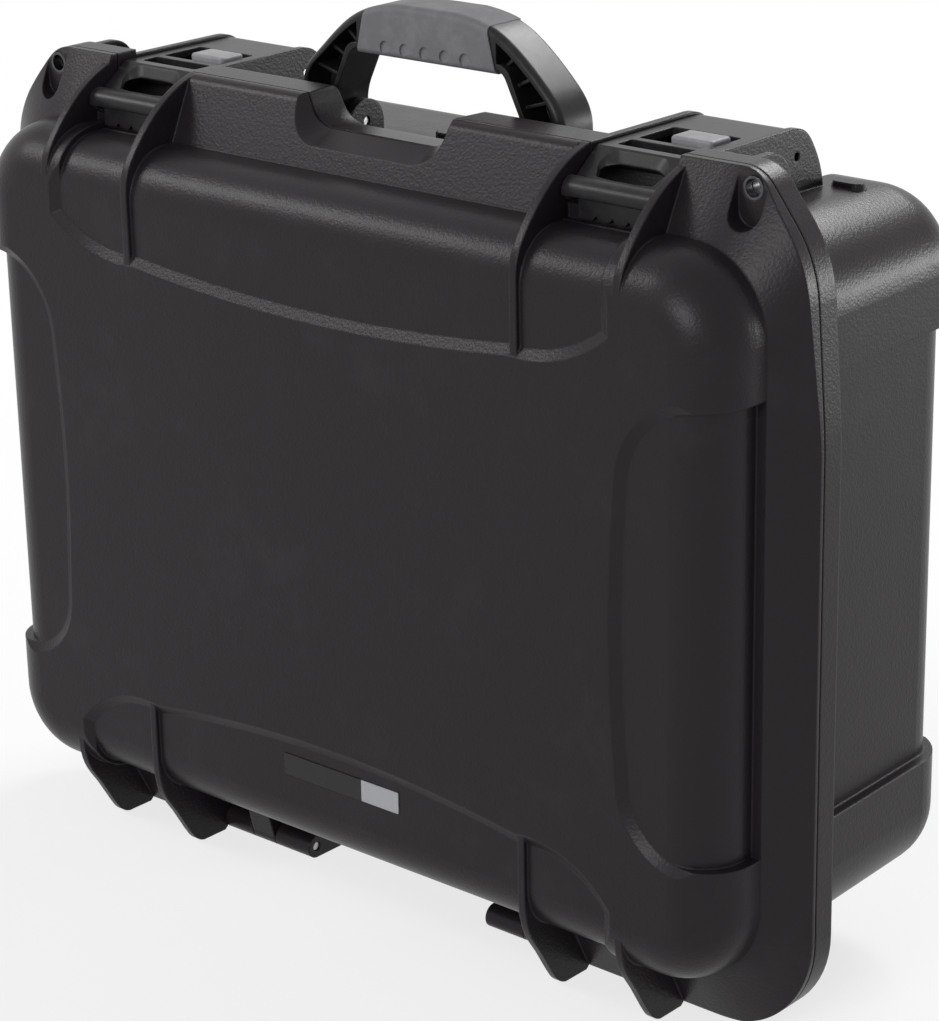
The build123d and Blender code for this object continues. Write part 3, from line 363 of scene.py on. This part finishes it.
@dataclass(frozen=True)
class SmoothPlastic:
    """Moulded plastic from a plain mould, with faint flow marks and handling marks."""

    name: str
    colour: Colour
    worn: Colour
    roughness: float = 0.32
    index: float = 1.28
    flow: Noise = Noise(0.03, 3.0)
    marks: Noise = Noise(0.004, 5.0, 0.7)
    skin: Noise = Noise(0.0009, 1.0)
    worn_band: tuple[float, float] = (0.2, 0.36)
    worn_share: float = 0.7
    flow_share: float = 0.3
    polish: float = 0.04
    marks_dull: float = 0.1
    relief: Relief = Relief(0.00004, 0.3)
    edge_radius: float = 0.0009

    def build(self) -> bpy.types.Material:
        """Makes the material.

        Returns:
            The material.
        """
        graph = MaterialGraph(self.name)
        flow = graph.noise(self.flow)
        marks = graph.noise(self.marks)
        colour = graph.tint((flow * marks).band(*self.worn_band) * self.worn_share, self.colour, self.worn)
        roughness = self.roughness - self.polish + marks * self.marks_dull
        height = flow * self.flow_share + graph.noise(self.skin) * (1 - self.flow_share)
        normal = graph.bump(height, self.relief, graph.rounded(self.edge_radius))
        shader = graph.principled(Base_Color=colour, Roughness=roughness, Normal=normal, IOR=self.index)
        return graph.finish(shader)


@dataclass(frozen=True)
class SoftRubber:
    """Overmoulded rubber: matt, with a fine skin and dust in it."""

    name: str
    colour: Colour
    dusty: Colour
    roughness: float = 0.62
    index: float = 1.3
    skin: Noise = Noise(0.0006, 2.0, 0.6)
    dust: Noise = Noise(0.011, 5.0, 0.7)
    dust_band: tuple[float, float] = (0.42, 0.72)
    dust_share: float = 0.8
    polish: float = 0.06
    dust_dulls: float = 0.12
    relief: Relief = Relief(0.00005, 0.4)
    edge_radius: float = 0.0006

    def build(self) -> bpy.types.Material:
        """Makes the material.

        Returns:
            The material.
        """
        graph = MaterialGraph(self.name)
        dust = graph.noise(self.dust)
        colour = graph.tint(dust.band(*self.dust_band) * self.dust_share, self.colour, self.dusty)
        roughness = self.roughness - self.polish + dust * self.dust_dulls
        normal = graph.bump(graph.noise(self.skin), self.relief, graph.rounded(self.edge_radius))
        shader = graph.principled(Base_Color=colour, Roughness=roughness, Normal=normal, IOR=self.index)
        return graph.finish(shader)


@dataclass(frozen=True)
class TurnedSteel:
    """Turned steel with fine tool marks and a few stains."""

    name: str
    colour: Colour
    stained: Colour = (0.26, 0.25, 0.24)
    roughness: float = 0.26
    turning: Noise = Noise(0.0004, 2.0, 0.5, (1.0, 0.2, 1.0))
    stain: Noise = Noise(0.004, 3.0)
    stain_band: tuple[float, float] = (0.45, 0.8)
    stain_share: float = 0.6
    stains_dull: float = 0.12
    turning_dulls: float = 0.06
    relief: Relief = Relief(0.00002, 0.3)
    edge_radius: float = 0.0003

    def build(self) -> bpy.types.Material:
        """Makes the material.

        Returns:
            The material.
        """
        graph = MaterialGraph(self.name)
        turning = graph.noise(self.turning)
        stain = graph.noise(self.stain)
        colour = graph.tint(stain.band(*self.stain_band) * self.stain_share, self.colour, self.stained)
        roughness = self.roughness + stain * self.stains_dull + turning * self.turning_dulls
        normal = graph.bump(turning, self.relief, graph.rounded(self.edge_radius))
        shader = graph.principled(Base_Color=colour, Metallic=1.0, Roughness=roughness, Normal=normal)
        return graph.finish(shader)


@dataclass(frozen=True)
class OpenFoam:
    """Open-cell foam: small pores painted darker at their centres as shade in the hollows and lighter on their
    walls as painted light, with knife-cut faces whose tone varies at random.
    """

    name: str
    # colour is the foam's dark tone, which also stands for the painted shade in its pores; lit is the painted lit
    # tone of the cell walls.
    colour: Colour
    lit: Colour
    index: float = 1.2
    pore: float = 0.0014
    large_pore: float = 0.00378
    pore_band: tuple[float, float] = (0.12, 0.6)
    large_pore_band: tuple[float, float] = (0.05, 0.5)
    large_share: float = 0.3
    cut_share: float = 0.25
    cut_height: float = 0.2
    roughness: float = 0.93
    pores_dull: float = 0.05
    cut: Noise = Noise(0.02, 3.0, 0.5, (1.0, 1.0, 6.0))
    relief: Relief = Relief(0.0007, 0.8)

    def build(self) -> bpy.types.Material:
        """Makes the material.

        Returns:
            The material.
        """
        graph = MaterialGraph(self.name)
        pores = graph.cells(self.pore).band(*self.pore_band)
        larger = graph.cells(self.large_pore).band(*self.large_pore_band)
        cut = graph.noise(self.cut)
        # The pores' mask sets both their depth and their painted shade: 0 at a pore's centre, which is low and
        # dark.
        pore_depth_and_shade = pores * (1 - self.large_share) + larger * self.large_share
        # Painted shade: pore centres take the dark colour and cell walls the lit one; the knife-cut noise adds
        # tone that varies at random.
        colour = graph.tint(pore_depth_and_shade * (1 - self.cut_share) + cut * self.cut_share, self.colour, self.lit)
        normal = graph.bump(pore_depth_and_shade + cut * self.cut_height, self.relief)
        roughness = self.roughness + pore_depth_and_shade * self.pores_dull
        shader = graph.principled(Base_Color=colour, Roughness=roughness, Normal=normal, IOR=self.index)
        return graph.finish(shader)


@dataclass(frozen=True)
class BarePlate:
    """Blank plate with a satin coat."""

    name: str
    colour: Colour
    edge: Colour
    roughness: float = 0.32
    index: float = 1.33
    brushed: Noise = Noise(0.0012, 3.0, 0.6, (0.15, 1.0, 1.0))
    wear: Noise = Noise(0.006, 4.0, 0.7)
    wear_band: tuple[float, float] = (0.5, 0.8)
    wear_share: float = 0.7
    brushed_share: float = 0.2
    wear_dulls: float = 0.1
    relief: Relief = Relief(0.00003, 0.3)
    edge_radius: float = 0.0003

    def build(self) -> bpy.types.Material:
        """Makes the material.

        Returns:
            The material.
        """
        graph = MaterialGraph(self.name)
        brushed = graph.noise(self.brushed)
        wear = graph.noise(self.wear)
        worn = wear.band(*self.wear_band) * self.wear_share
        colour = graph.tint(worn + brushed * self.brushed_share, self.colour, self.edge)
        normal = graph.bump(brushed, self.relief, graph.rounded(self.edge_radius))
        roughness = self.roughness + wear * self.wear_dulls
        shader = graph.principled(Base_Color=colour, Roughness=roughness, Normal=normal, IOR=self.index)
        return graph.finish(shader)


Finish = Union[TexturedPlastic, SmoothPlastic, SoftRubber, TurnedSteel, OpenFoam, BarePlate]


@dataclass
class Finishes:
    """Every finish on the case, and the CAD pieces that wear it."""

    shell: Finish = TexturedPlastic("shell_charcoal_plastic", (0.0135, 0.0102, 0.0127), (0.024, 0.0205, 0.0232))
    handle: Finish = SmoothPlastic("handle_black_plastic", (0.013, 0.0115, 0.013), (0.024, 0.022, 0.024), 0.34)
    grip: Finish = SoftRubber("grip_grey_rubber", (0.138, 0.134, 0.141), (0.180, 0.175, 0.184))
    latch: Finish = SmoothPlastic("latch_charcoal_plastic", (0.0135, 0.0120, 0.0135), (0.025, 0.023, 0.025))
    lock: Finish = SmoothPlastic("lock_grey_plastic", (0.28, 0.275, 0.283), (0.22, 0.216, 0.223), 0.42)
    steel: Finish = TurnedSteel("pin_bright_steel", (0.40, 0.40, 0.41))
    # The bush is the same turned steel as the pin, darkened as painted shade for the deep pocket that it sits in.
    bush: Finish = TurnedSteel("bush_steel_darkened_as_shade", (0.09, 0.09, 0.095), (0.05, 0.048, 0.047))
    seal: Finish = SoftRubber("seal_black_rubber", (0.010, 0.010, 0.011), (0.018, 0.018, 0.019), 0.7)
    # The foam's second colour is the painted lit tone of its cell walls; its pores are painted dark as shade.
    foam: Finish = OpenFoam("foam_charcoal", (0.008, 0.008, 0.009), (0.038, 0.037, 0.039))
    dark_plate: Finish = BarePlate("dark_plate_satin", (0.0145, 0.0125, 0.0140), (0.026, 0.024, 0.0255))
    pale_plate: Finish = BarePlate("pale_plate_satin", (0.36, 0.36, 0.375), (0.29, 0.29, 0.30))
    made: dict[str, bpy.types.Material] = field(default_factory=dict)

    def material(self, finish: Finish) -> bpy.types.Material:
        """Makes a finish's material once.

        Args:
            finish: the finish.

        Returns:
            Its material.
        """
        if finish.name not in self.made:
            self.made[finish.name] = finish.build()
        return self.made[finish.name]

    def wearers(self) -> dict[str, Finish]:
        """Finish of each CAD piece, by a word in its name; the first word that fits counts.

        Returns:
            The finish for each word.
        """
        return {
            "shell": self.shell,
            "gasket": self.seal,
            "handle_frame": self.handle,
            "grip": self.grip,
            "pin": self.steel,
            "bush": self.bush,
            "latch_arm": self.latch,
            "latch_claw": self.latch,
            "latch_lock": self.lock,
            "valve": self.handle,
            "dark_plate": self.dark_plate,
            "pale_plate": self.pale_plate,
            "foam": self.foam,
            "pad": self.foam,
        }

    def dress(self, nodes: dict[str, bpy.types.Object]) -> None:
        """Gives every CAD piece its finish.

        Args:
            nodes: the CAD pieces by name.
        """
        for name, piece in nodes.items():
            finish = next(finish for word, finish in self.wearers().items() if word in name)
            material = self.material(finish)
            if not piece.material_slots:
                piece.data.materials.append(material)
            for place in piece.material_slots:
                place.material = material
            log.info("%s wears %s", name, finish.name)


def select_only(piece: bpy.types.Object) -> None:
    """Makes a piece the active one and the only one selected.

    Args:
        piece: the piece.
    """
    bpy.ops.object.select_all(action="DESELECT")
    bpy.context.view_layer.objects.active = piece
    piece.select_set(True)


def clear_mesh_selection() -> None:
    """Deselects every point, edge and face of the active piece."""
    bpy.ops.object.mode_set(mode="EDIT")
    leave_edit_mode()


def leave_edit_mode() -> None:
    """Deselects all of the active piece's mesh and goes back to object mode."""
    bpy.ops.mesh.select_all(action="DESELECT")
    bpy.ops.object.mode_set(mode="OBJECT")


def bevel_edges(piece: bpy.types.Object, wanted: Callable[[Vector, Vector], bool], radius: float,
                segments: int) -> None:
    """Rounds chosen edges.

    Args:
        piece: the active piece.
        wanted: says whether an edge between two points is taken.
        radius: the round's radius, in metres.
        segments: how many faces it has.
    """
    clear_mesh_selection()
    bpy.context.tool_settings.mesh_select_mode = (False, True, False)
    points = piece.data.vertices
    for edge in piece.data.edges:
        first, second = (points[index].co for index in edge.vertices)
        edge.select = wanted(first, second)
        for index in edge.vertices:
            points[index].select = points[index].select or edge.select
    bpy.ops.object.mode_set(mode="EDIT")
    bpy.ops.mesh.bevel(offset=radius, segments=segments, affect="EDGES")
    leave_edit_mode()


def runs_in_depth(first: Vector, second: Vector) -> bool:
    """Tells whether an edge runs straight from front to back."""
    return abs(first.x - second.x) < SAME_PLACE and abs(first.z - second.z) < SAME_PLACE


@dataclass
class ShellFoam:
    """What the foam of both shells shares: its finish, its rounds, and how it is cut."""

    finishes: Finishes
    corner: float = 0.0315
    far_round: float = 0.0185
    round_faces: int = 8
    draft: float = math.radians(1.5)
    cut_edge: float = 0.0012
    cut_edge_faces: int = 3
    sharp_angle: float = math.radians(50)
    smooth_angle: float = math.radians(40)

    def block(self, name: str, low: Corner, high: Corner, corner: float) -> bpy.types.Object:
        """Makes a block whose corners are rounded as seen from the front.

        Args:
            name: its name.
            low: its lowest corner.
            high: its highest corner.
            corner: the corners' radius.

        Returns:
            The block, with its origin at the case's.
        """
        bpy.ops.object.select_all(action="DESELECT")
        middle = [(a + b) / 2 for a, b in zip(low, high)]
        size = [b - a for a, b in zip(low, high)]
        bpy.ops.mesh.primitive_cube_add(size=1.0, location=middle, scale=size)
        bpy.ops.object.transform_apply(location=True, rotation=True, scale=True)
        block = bpy.context.object
        block.name = name
        bevel_edges(block, runs_in_depth, corner, self.round_faces)
        return block

    def draw_in(self, block: bpy.types.Object, far_y: float, near_y: float) -> None:
        """Draws the far side of a block in by the mould's draft.

        Args:
            block: the block.
            far_y: where its far side is.
            near_y: where its near side is.
        """
        half_width = max(point.co.x for point in block.data.vertices)
        heights = [point.co.z for point in block.data.vertices]
        half_height = (max(heights) - min(heights)) / 2
        middle = (max(heights) + min(heights)) / 2
        drawn = abs(far_y - near_y) * math.tan(self.draft)
        clear_mesh_selection()
        for point in block.data.vertices:
            point.select = abs(point.co.y - far_y) < SAME_PLACE
        bpy.context.tool_settings.mesh_select_mode = (True, False, False)
        bpy.ops.object.mode_set(mode="EDIT")
        share = (1 - drawn / half_width, 1.0, 1 - drawn / half_height)
        bpy.ops.transform.resize(value=share, center_override=(0.0, far_y, middle))
        leave_edit_mode()

    def round_far_rim(self, block: bpy.types.Object, far_y: float) -> None:
        """Rounds the rim of a block's far side, as the shell behind it is.

        Args:
            block: the block.
            far_y: where its far side is.
        """

        def on_rim(first: Vector, second: Vector) -> bool:
            """Tells whether an edge lies in the far side."""
            return abs(first.y - far_y) < SAME_PLACE and abs(second.y - far_y) < SAME_PLACE

        bevel_edges(block, on_rim, self.far_round, self.round_faces)

    def cut(self, block: bpy.types.Object, cutter: bpy.types.Object) -> None:
        """Cuts one piece out of another and clears the cutter away.

        Args:
            block: what is cut.
            cutter: what is taken away.
        """
        select_only(block)
        bpy.ops.object.modifier_add(type="BOOLEAN")
        boolean = block.modifiers[-1]
        boolean.operation = "DIFFERENCE"
        boolean.solver = "EXACT"
        boolean.object = cutter
        bpy.ops.object.modifier_apply(modifier=boolean.name)
        bpy.data.objects.remove(cutter, do_unlink=True)

    def soften(self, piece: bpy.types.Object) -> None:
        """Rounds a piece's cut edges a little and shades it smoothly.

        Args:
            piece: the piece.
        """
        select_only(piece)
        bpy.ops.object.modifier_add(type="BEVEL")
        bevel = piece.modifiers[-1]
        bevel.width = self.cut_edge
        bevel.segments = self.cut_edge_faces
        bevel.limit_method = "ANGLE"
        bevel.angle_limit = self.sharp_angle
        bpy.ops.object.modifier_apply(modifier=bevel.name)
        bpy.ops.object.shade_smooth_by_angle(angle=self.smooth_angle)

    def settle(self, piece: bpy.types.Object, node: str, body: str) -> None:
        """Dresses a finished piece and lets it stand for its CAD solid.

        Args:
            piece: the piece.
            node: the CAD solid.
            body: the body that it rides on.
        """
        piece.data.materials.clear()
        piece.data.materials.append(self.finishes.material(self.finishes.foam))
        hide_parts(node)
        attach(piece, body)
        log.info("%s stands for %s on %s", piece.name, node, body)


@dataclass
class BaseFoam(ShellFoam):
    """Foam of the base: a ring cut for the mixer, and the pad behind it."""

    pocket_width: float = 0.394
    pocket_height: float = 0.264
    pocket_corner: float = 0.012
    notch_radius: float = 0.014
    notch_corner: float = 0.01372
    notch_length: float = 0.090
    valve_x: float = -0.020
    valve_y: float = 0.025
    valve_radius: float = 0.009
    valve_depth: float = 0.0095
    valve_sides: int = 48
    pad_corner: float = 0.0295

    def notch_cutter(self, side: Side, low: Corner, high: Corner) -> bpy.types.Object:
        """Makes the cutter of a finger notch at one end of the pocket.

        Args:
            side: the end.
            low: the ring's lowest corner.
            high: its highest corner.

        Returns:
            The cutter.
        """
        x = side.value * self.pocket_width / 2
        middle = (low[2] + high[2]) / 2
        reach = self.notch_length / 2
        return self.block(
            "notch_cutter",
            (x - self.notch_radius, low[1] - PAST_EDGE, middle - reach),
            (x + self.notch_radius, high[1] + PAST_EDGE, middle + reach),
            self.notch_corner,
        )

    def valve_cutter(self, top: float) -> bpy.types.Object:
        """Makes the round cutter of the hollow for the valve's nut.

        Args:
            top: the height of the ring's top.

        Returns:
            The cutter.
        """
        bpy.ops.object.select_all(action="DESELECT")
        bpy.ops.mesh.primitive_cylinder_add(
            vertices=self.valve_sides,
            radius=self.valve_radius,
            depth=2 * self.valve_depth,
            location=(self.valve_x, self.valve_y, top),
        )
        bpy.ops.object.transform_apply(location=True, rotation=True, scale=True)
        return bpy.context.object

    def mixer_ring(self) -> bpy.types.Object:
        """Makes the ring round the mixer, with finger notches and a hollow for the valve's nut.

        Returns:
            The ring.
        """
        low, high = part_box("base_foam")
        ring = self.block("mixer_foam_ring", tuple(low), tuple(high), self.corner)
        self.draw_in(ring, high[1], low[1])
        middle = (low[2] + high[2]) / 2
        half_width, half_height = self.pocket_width / 2, self.pocket_height / 2
        pocket = self.block(
            "pocket_cutter",
            (-half_width, low[1] - PAST_EDGE, middle - half_height),
            (half_width, high[1] + PAST_EDGE, middle + half_height),
            self.pocket_corner,
        )
        self.cut(ring, pocket)
        for side in Side:
            self.cut(ring, self.notch_cutter(side, low, high))
        self.cut(ring, self.valve_cutter(high[2]))
        self.soften(ring)
        self.settle(ring, "base_foam", "base")
        return ring

    def under_pad(self) -> bpy.types.Object:
        """Makes the pad that lies in the back of the base.

        Returns:
            The pad.
        """
        low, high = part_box("floor_pad")
        pad = self.block("mixer_foam_pad", tuple(low), tuple(high), self.pad_corner)
        self.draw_in(pad, high[1], low[1])
        self.round_far_rim(pad, high[1])
        self.soften(pad)
        self.settle(pad, "floor_pad", "base")
        return pad

    def build(self) -> list[bpy.types.Object]:
        """Makes both pieces."""
        return [self.mixer_ring(), self.under_pad()]


@dataclass
class LidFoam(ShellFoam):
    """Foam of the lid: a plain sheet, and a convoluted one whose peaks press on the mixer."""

    sheet_depth: float = 0.023
    sheet_step: float = 0.0045
    crate_depth: float = 0.017
    crate_pitch: float = 0.044

    def backing(self) -> bpy.types.Object:
        """Makes the plain sheet glued into the lid.

        Returns:
            The sheet.
        """
        low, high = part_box("lid_foam")
        near = high[1] - self.sheet_depth
        drawn = self.sheet_depth * math.tan(self.draft)
        sheet = self.block(
            "lid_foam_backing",
            (low[0] + drawn, low[1], low[2] + drawn),
            (high[0] - drawn, near, high[2] - drawn),
            self.corner,
        )
        self.draw_in(sheet, low[1], near)
        self.round_far_rim(sheet, low[1])
        self.soften(sheet)
        self.settle(sheet, "lid_foam", "lid")
        return sheet

    def in_rounded_corner(self, across: float, up: float, half_width: float,
                          half_height: float) -> tuple[float, float]:
        """Moves a point of a rectangle's grid so that the grid ends in rounded corners.

        Args:
            across: its distance from the middle.
            up: its height from the middle.
            half_width: half of the rectangle's width.
            half_height: half of its height.

        Returns:
            Where the point goes.
        """
        past_x = abs(across) - (half_width - self.corner)
        past_z = abs(up) - (half_height - self.corner)
        if past_x <= 0 or past_z <= 0:
            return across, up
        share = max(past_x, past_z) / math.hypot(past_x, past_z)
        new_x = half_width - self.corner + past_x * share
        new_z = half_height - self.corner + past_z * share
        return math.copysign(new_x, across), math.copysign(new_z, up)

    def flat_grid(self, back: float) -> bpy.types.Object:
        """Lays an even grid with rounded corners where the convoluted sheet's back is.

        Args:
            back: where the back is, along y.

        Returns:
            The grid.
        """
        low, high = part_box("lid_foam")
        half_width, half_height = (high[0] - low[0]) / 2, (high[2] - low[2]) / 2
        middle = (low[2] + high[2]) / 2
        columns = round(2 * half_width / self.sheet_step)
        rows = round(2 * half_height / self.sheet_step)
        bpy.ops.object.select_all(action="DESELECT")
        bpy.ops.mesh.primitive_grid_add(x_subdivisions=columns, y_subdivisions=rows, size=2.0)
        grid = bpy.context.object
        for point in grid.data.vertices:
            x, z = self.in_rounded_corner(
                point.co.x * half_width, point.co.y * half_height, half_width, half_height
            )
            point.co = (x, back, z + middle)
        return grid

    def crate(self) -> bpy.types.Object:
        """Makes the convoluted sheet on the backing.

        Returns:
            The sheet.
        """
        low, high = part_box("lid_foam")
        middle = (low[2] + high[2]) / 2
        back = high[1] - self.sheet_depth
        sheet = self.flat_grid(back)
        sheet.name = "lid_foam_crate"
        bpy.ops.object.mode_set(mode="EDIT")
        bpy.ops.mesh.select_all(action="SELECT")
        bpy.ops.mesh.extrude_region_move(TRANSFORM_OT_translate={"value": (0.0, self.sheet_depth, 0.0)})
        bpy.ops.object.mode_set(mode="OBJECT")
        turn = math.pi / self.crate_pitch
        for point in sheet.data.vertices:
            if point.co.y > back + self.sheet_depth / 2:
                wave = math.cos(turn * point.co.x) * math.cos(turn * (point.co.z - middle))
                point.co.y -= self.crate_depth * (1 - wave) / 2
        bpy.ops.object.mode_set(mode="EDIT")
        bpy.ops.mesh.select_all(action="SELECT")
        bpy.ops.mesh.normals_make_consistent(inside=False)
        bpy.ops.object.mode_set(mode="OBJECT")
        bpy.ops.object.shade_smooth_by_angle(angle=self.sharp_angle)
        self.settle(sheet, "lid_foam", "lid")
        return sheet

    def build(self) -> list[bpy.types.Object]:
        """Makes both sheets."""
        return [self.backing(), self.crate()]


@dataclass(frozen=True)
class SoftBox:
    """A lamp: where it stands, its width and height in metres, and its power in watts."""

    name: str
    place: Corner
    size: tuple[float, float]
    power: float


@dataclass
class Studio:
    """Camera, lamps, floor and background."""

    height: int = 1021
    focal_pixels: float = 3163.5
    sensor: float = 36.0
    far_end: float = 50.0
    azimuth: float = 41.58
    elevation: float = 19.84
    roll: float = 1.166
    case_width: float = 0.503
    parting_y: float = -0.0445
    shift: Corner = (-0.0662, -0.3802, -3.1678)
    aim: Corner = (0.0, 0.0, 0.22)
    boxes: tuple[SoftBox, ...] = (
        SoftBox("back_box", (0.0, 1.8, 2.0), (1.3, 0.5), 44.0),
        SoftBox("right_box", (1.6, 2.1, 0.28), (1.1, 0.45), 26.0),
        SoftBox("left_box", (-1.8, -1.35, 1.85), (1.0, 0.7), 24.0),
        SoftBox("front_box", (0.4, -2.4, 1.1), (1.0, 0.7), 24.0),
    )
    sky: Colour = (0.95, 0.97, 1.0)
    sky_strength: float = 0.3
    floor_size: float = 12.0
    floor_colour: Colour = (0.86, 0.86, 0.86)
    floor_roughness: float = 0.9
    floor_white: float = 0.74
    shadow_reach: tuple[float, float] = (0.35, 1.1)

    def axes(self) -> Matrix:
        """Directions of the camera's right, up and back, as the rows of a matrix.

        Returns:
            The matrix.
        """
        turn, rise, roll = (math.radians(value) for value in (self.azimuth, self.elevation, self.roll))
        back = Vector((math.sin(turn) * math.cos(rise), -math.cos(turn) * math.cos(rise), math.sin(rise)))
        right = Vector((math.cos(turn), math.sin(turn), 0.0))
        up = back.cross(right)
        rolled_right = right * math.cos(roll) - up * math.sin(roll)
        rolled_up = right * math.sin(roll) + up * math.cos(roll)
        return Matrix((rolled_right, rolled_up, back))

    def camera(self) -> bpy.types.Object:
        """Sets the camera at the photograph's viewpoint.

        Returns:
            The camera.
        """
        axes = self.axes()
        place = -(axes.transposed() @ Vector(self.shift)) * self.case_width
        place.y += self.parting_y
        data = bpy.data.cameras.new("camera")
        data.sensor_fit = "VERTICAL"
        data.sensor_height = self.sensor
        data.lens = self.focal_pixels / self.height * self.sensor
        data.clip_end = self.far_end
        camera = bpy.data.objects.new("camera", data)
        camera.matrix_world = Matrix.Translation(place) @ axes.transposed().to_4x4()
        bpy.context.scene.collection.objects.link(camera)
        bpy.context.scene.camera = camera
        return camera

    def lamp(self, box: SoftBox) -> None:
        """Adds a soft box that faces the case.

        Args:
            box: the soft box.
        """
        data = bpy.data.lights.new(box.name, "AREA")
        data.shape = "RECTANGLE"
        data.size, data.size_y = box.size
        data.energy = box.power
        lamp = bpy.data.objects.new(box.name, data)
        place = Vector(box.place)
        turned = (place - Vector(self.aim)).to_track_quat("Z", "Y").to_matrix().to_4x4()
        lamp.matrix_world = Matrix.Translation(place) @ turned
        bpy.context.scene.collection.objects.link(lamp)

    def world(self) -> None:
        """Makes the world: a soft pale light, and plain white where it is seen."""
        world = bpy.data.worlds.new("studio")
        bpy.context.scene.world = world
        world.use_nodes = True
        graph = NodeGraph(world.node_tree)
        seen = graph.node("ShaderNodeBackground", None, {"Color": (1.0, 1.0, 1.0)})
        light = graph.node("ShaderNodeBackground", None, {"Color": self.sky, "Strength": self.sky_strength})
        graph.end("ShaderNodeOutputWorld", graph.blended(graph.shown(), light, seen))

    def floor_material(self) -> bpy.types.Material:
        """Makes the floor's material, in which plain white takes over away from the case's shadow.

        Returns:
            The material.
        """
        graph = MaterialGraph("floor_pale")
        lit = graph.principled(Base_Color=self.floor_colour, Roughness=self.floor_roughness)
        white = graph.node("ShaderNodeEmission")
        away = graph.node("ShaderNodeVectorMath", {"operation": "LENGTH"}, {0: graph.place()}, "Value")
        share = self.floor_white + away.band(*self.shadow_reach) * (1.0 - self.floor_white)
        return graph.finish(graph.blended(graph.shown() * share, lit, white))

    def floor(self) -> None:
        """Lays the pale floor."""
        bpy.ops.object.select_all(action="DESELECT")
        bpy.ops.mesh.primitive_plane_add(size=self.floor_size, location=(0.0, 0.0, 0.0))
        floor = bpy.context.object
        floor.name = "floor"
        floor.data.materials.append(self.floor_material())

    def build(self) -> None:
        """Builds the whole studio."""
        self.camera()
        for box in self.boxes:
            self.lamp(box)
        self.world()
        self.floor()
        bpy.context.scene.view_settings.view_transform = "Standard"


def main() -> None:
    """Dresses the case, makes its foam and builds the studio."""
    logging.basicConfig(level=logging.INFO, format="%(message)s")
    finishes = Finishes()
    finishes.dress(frame["nodes"])
    for foam in (BaseFoam(finishes), LidFoam(finishes)):
        for piece in foam.build():
            log.info("%s has %d faces", piece.name, len(piece.data.polygons))
    Studio().build()


if __name__ == "__main__":
    main()
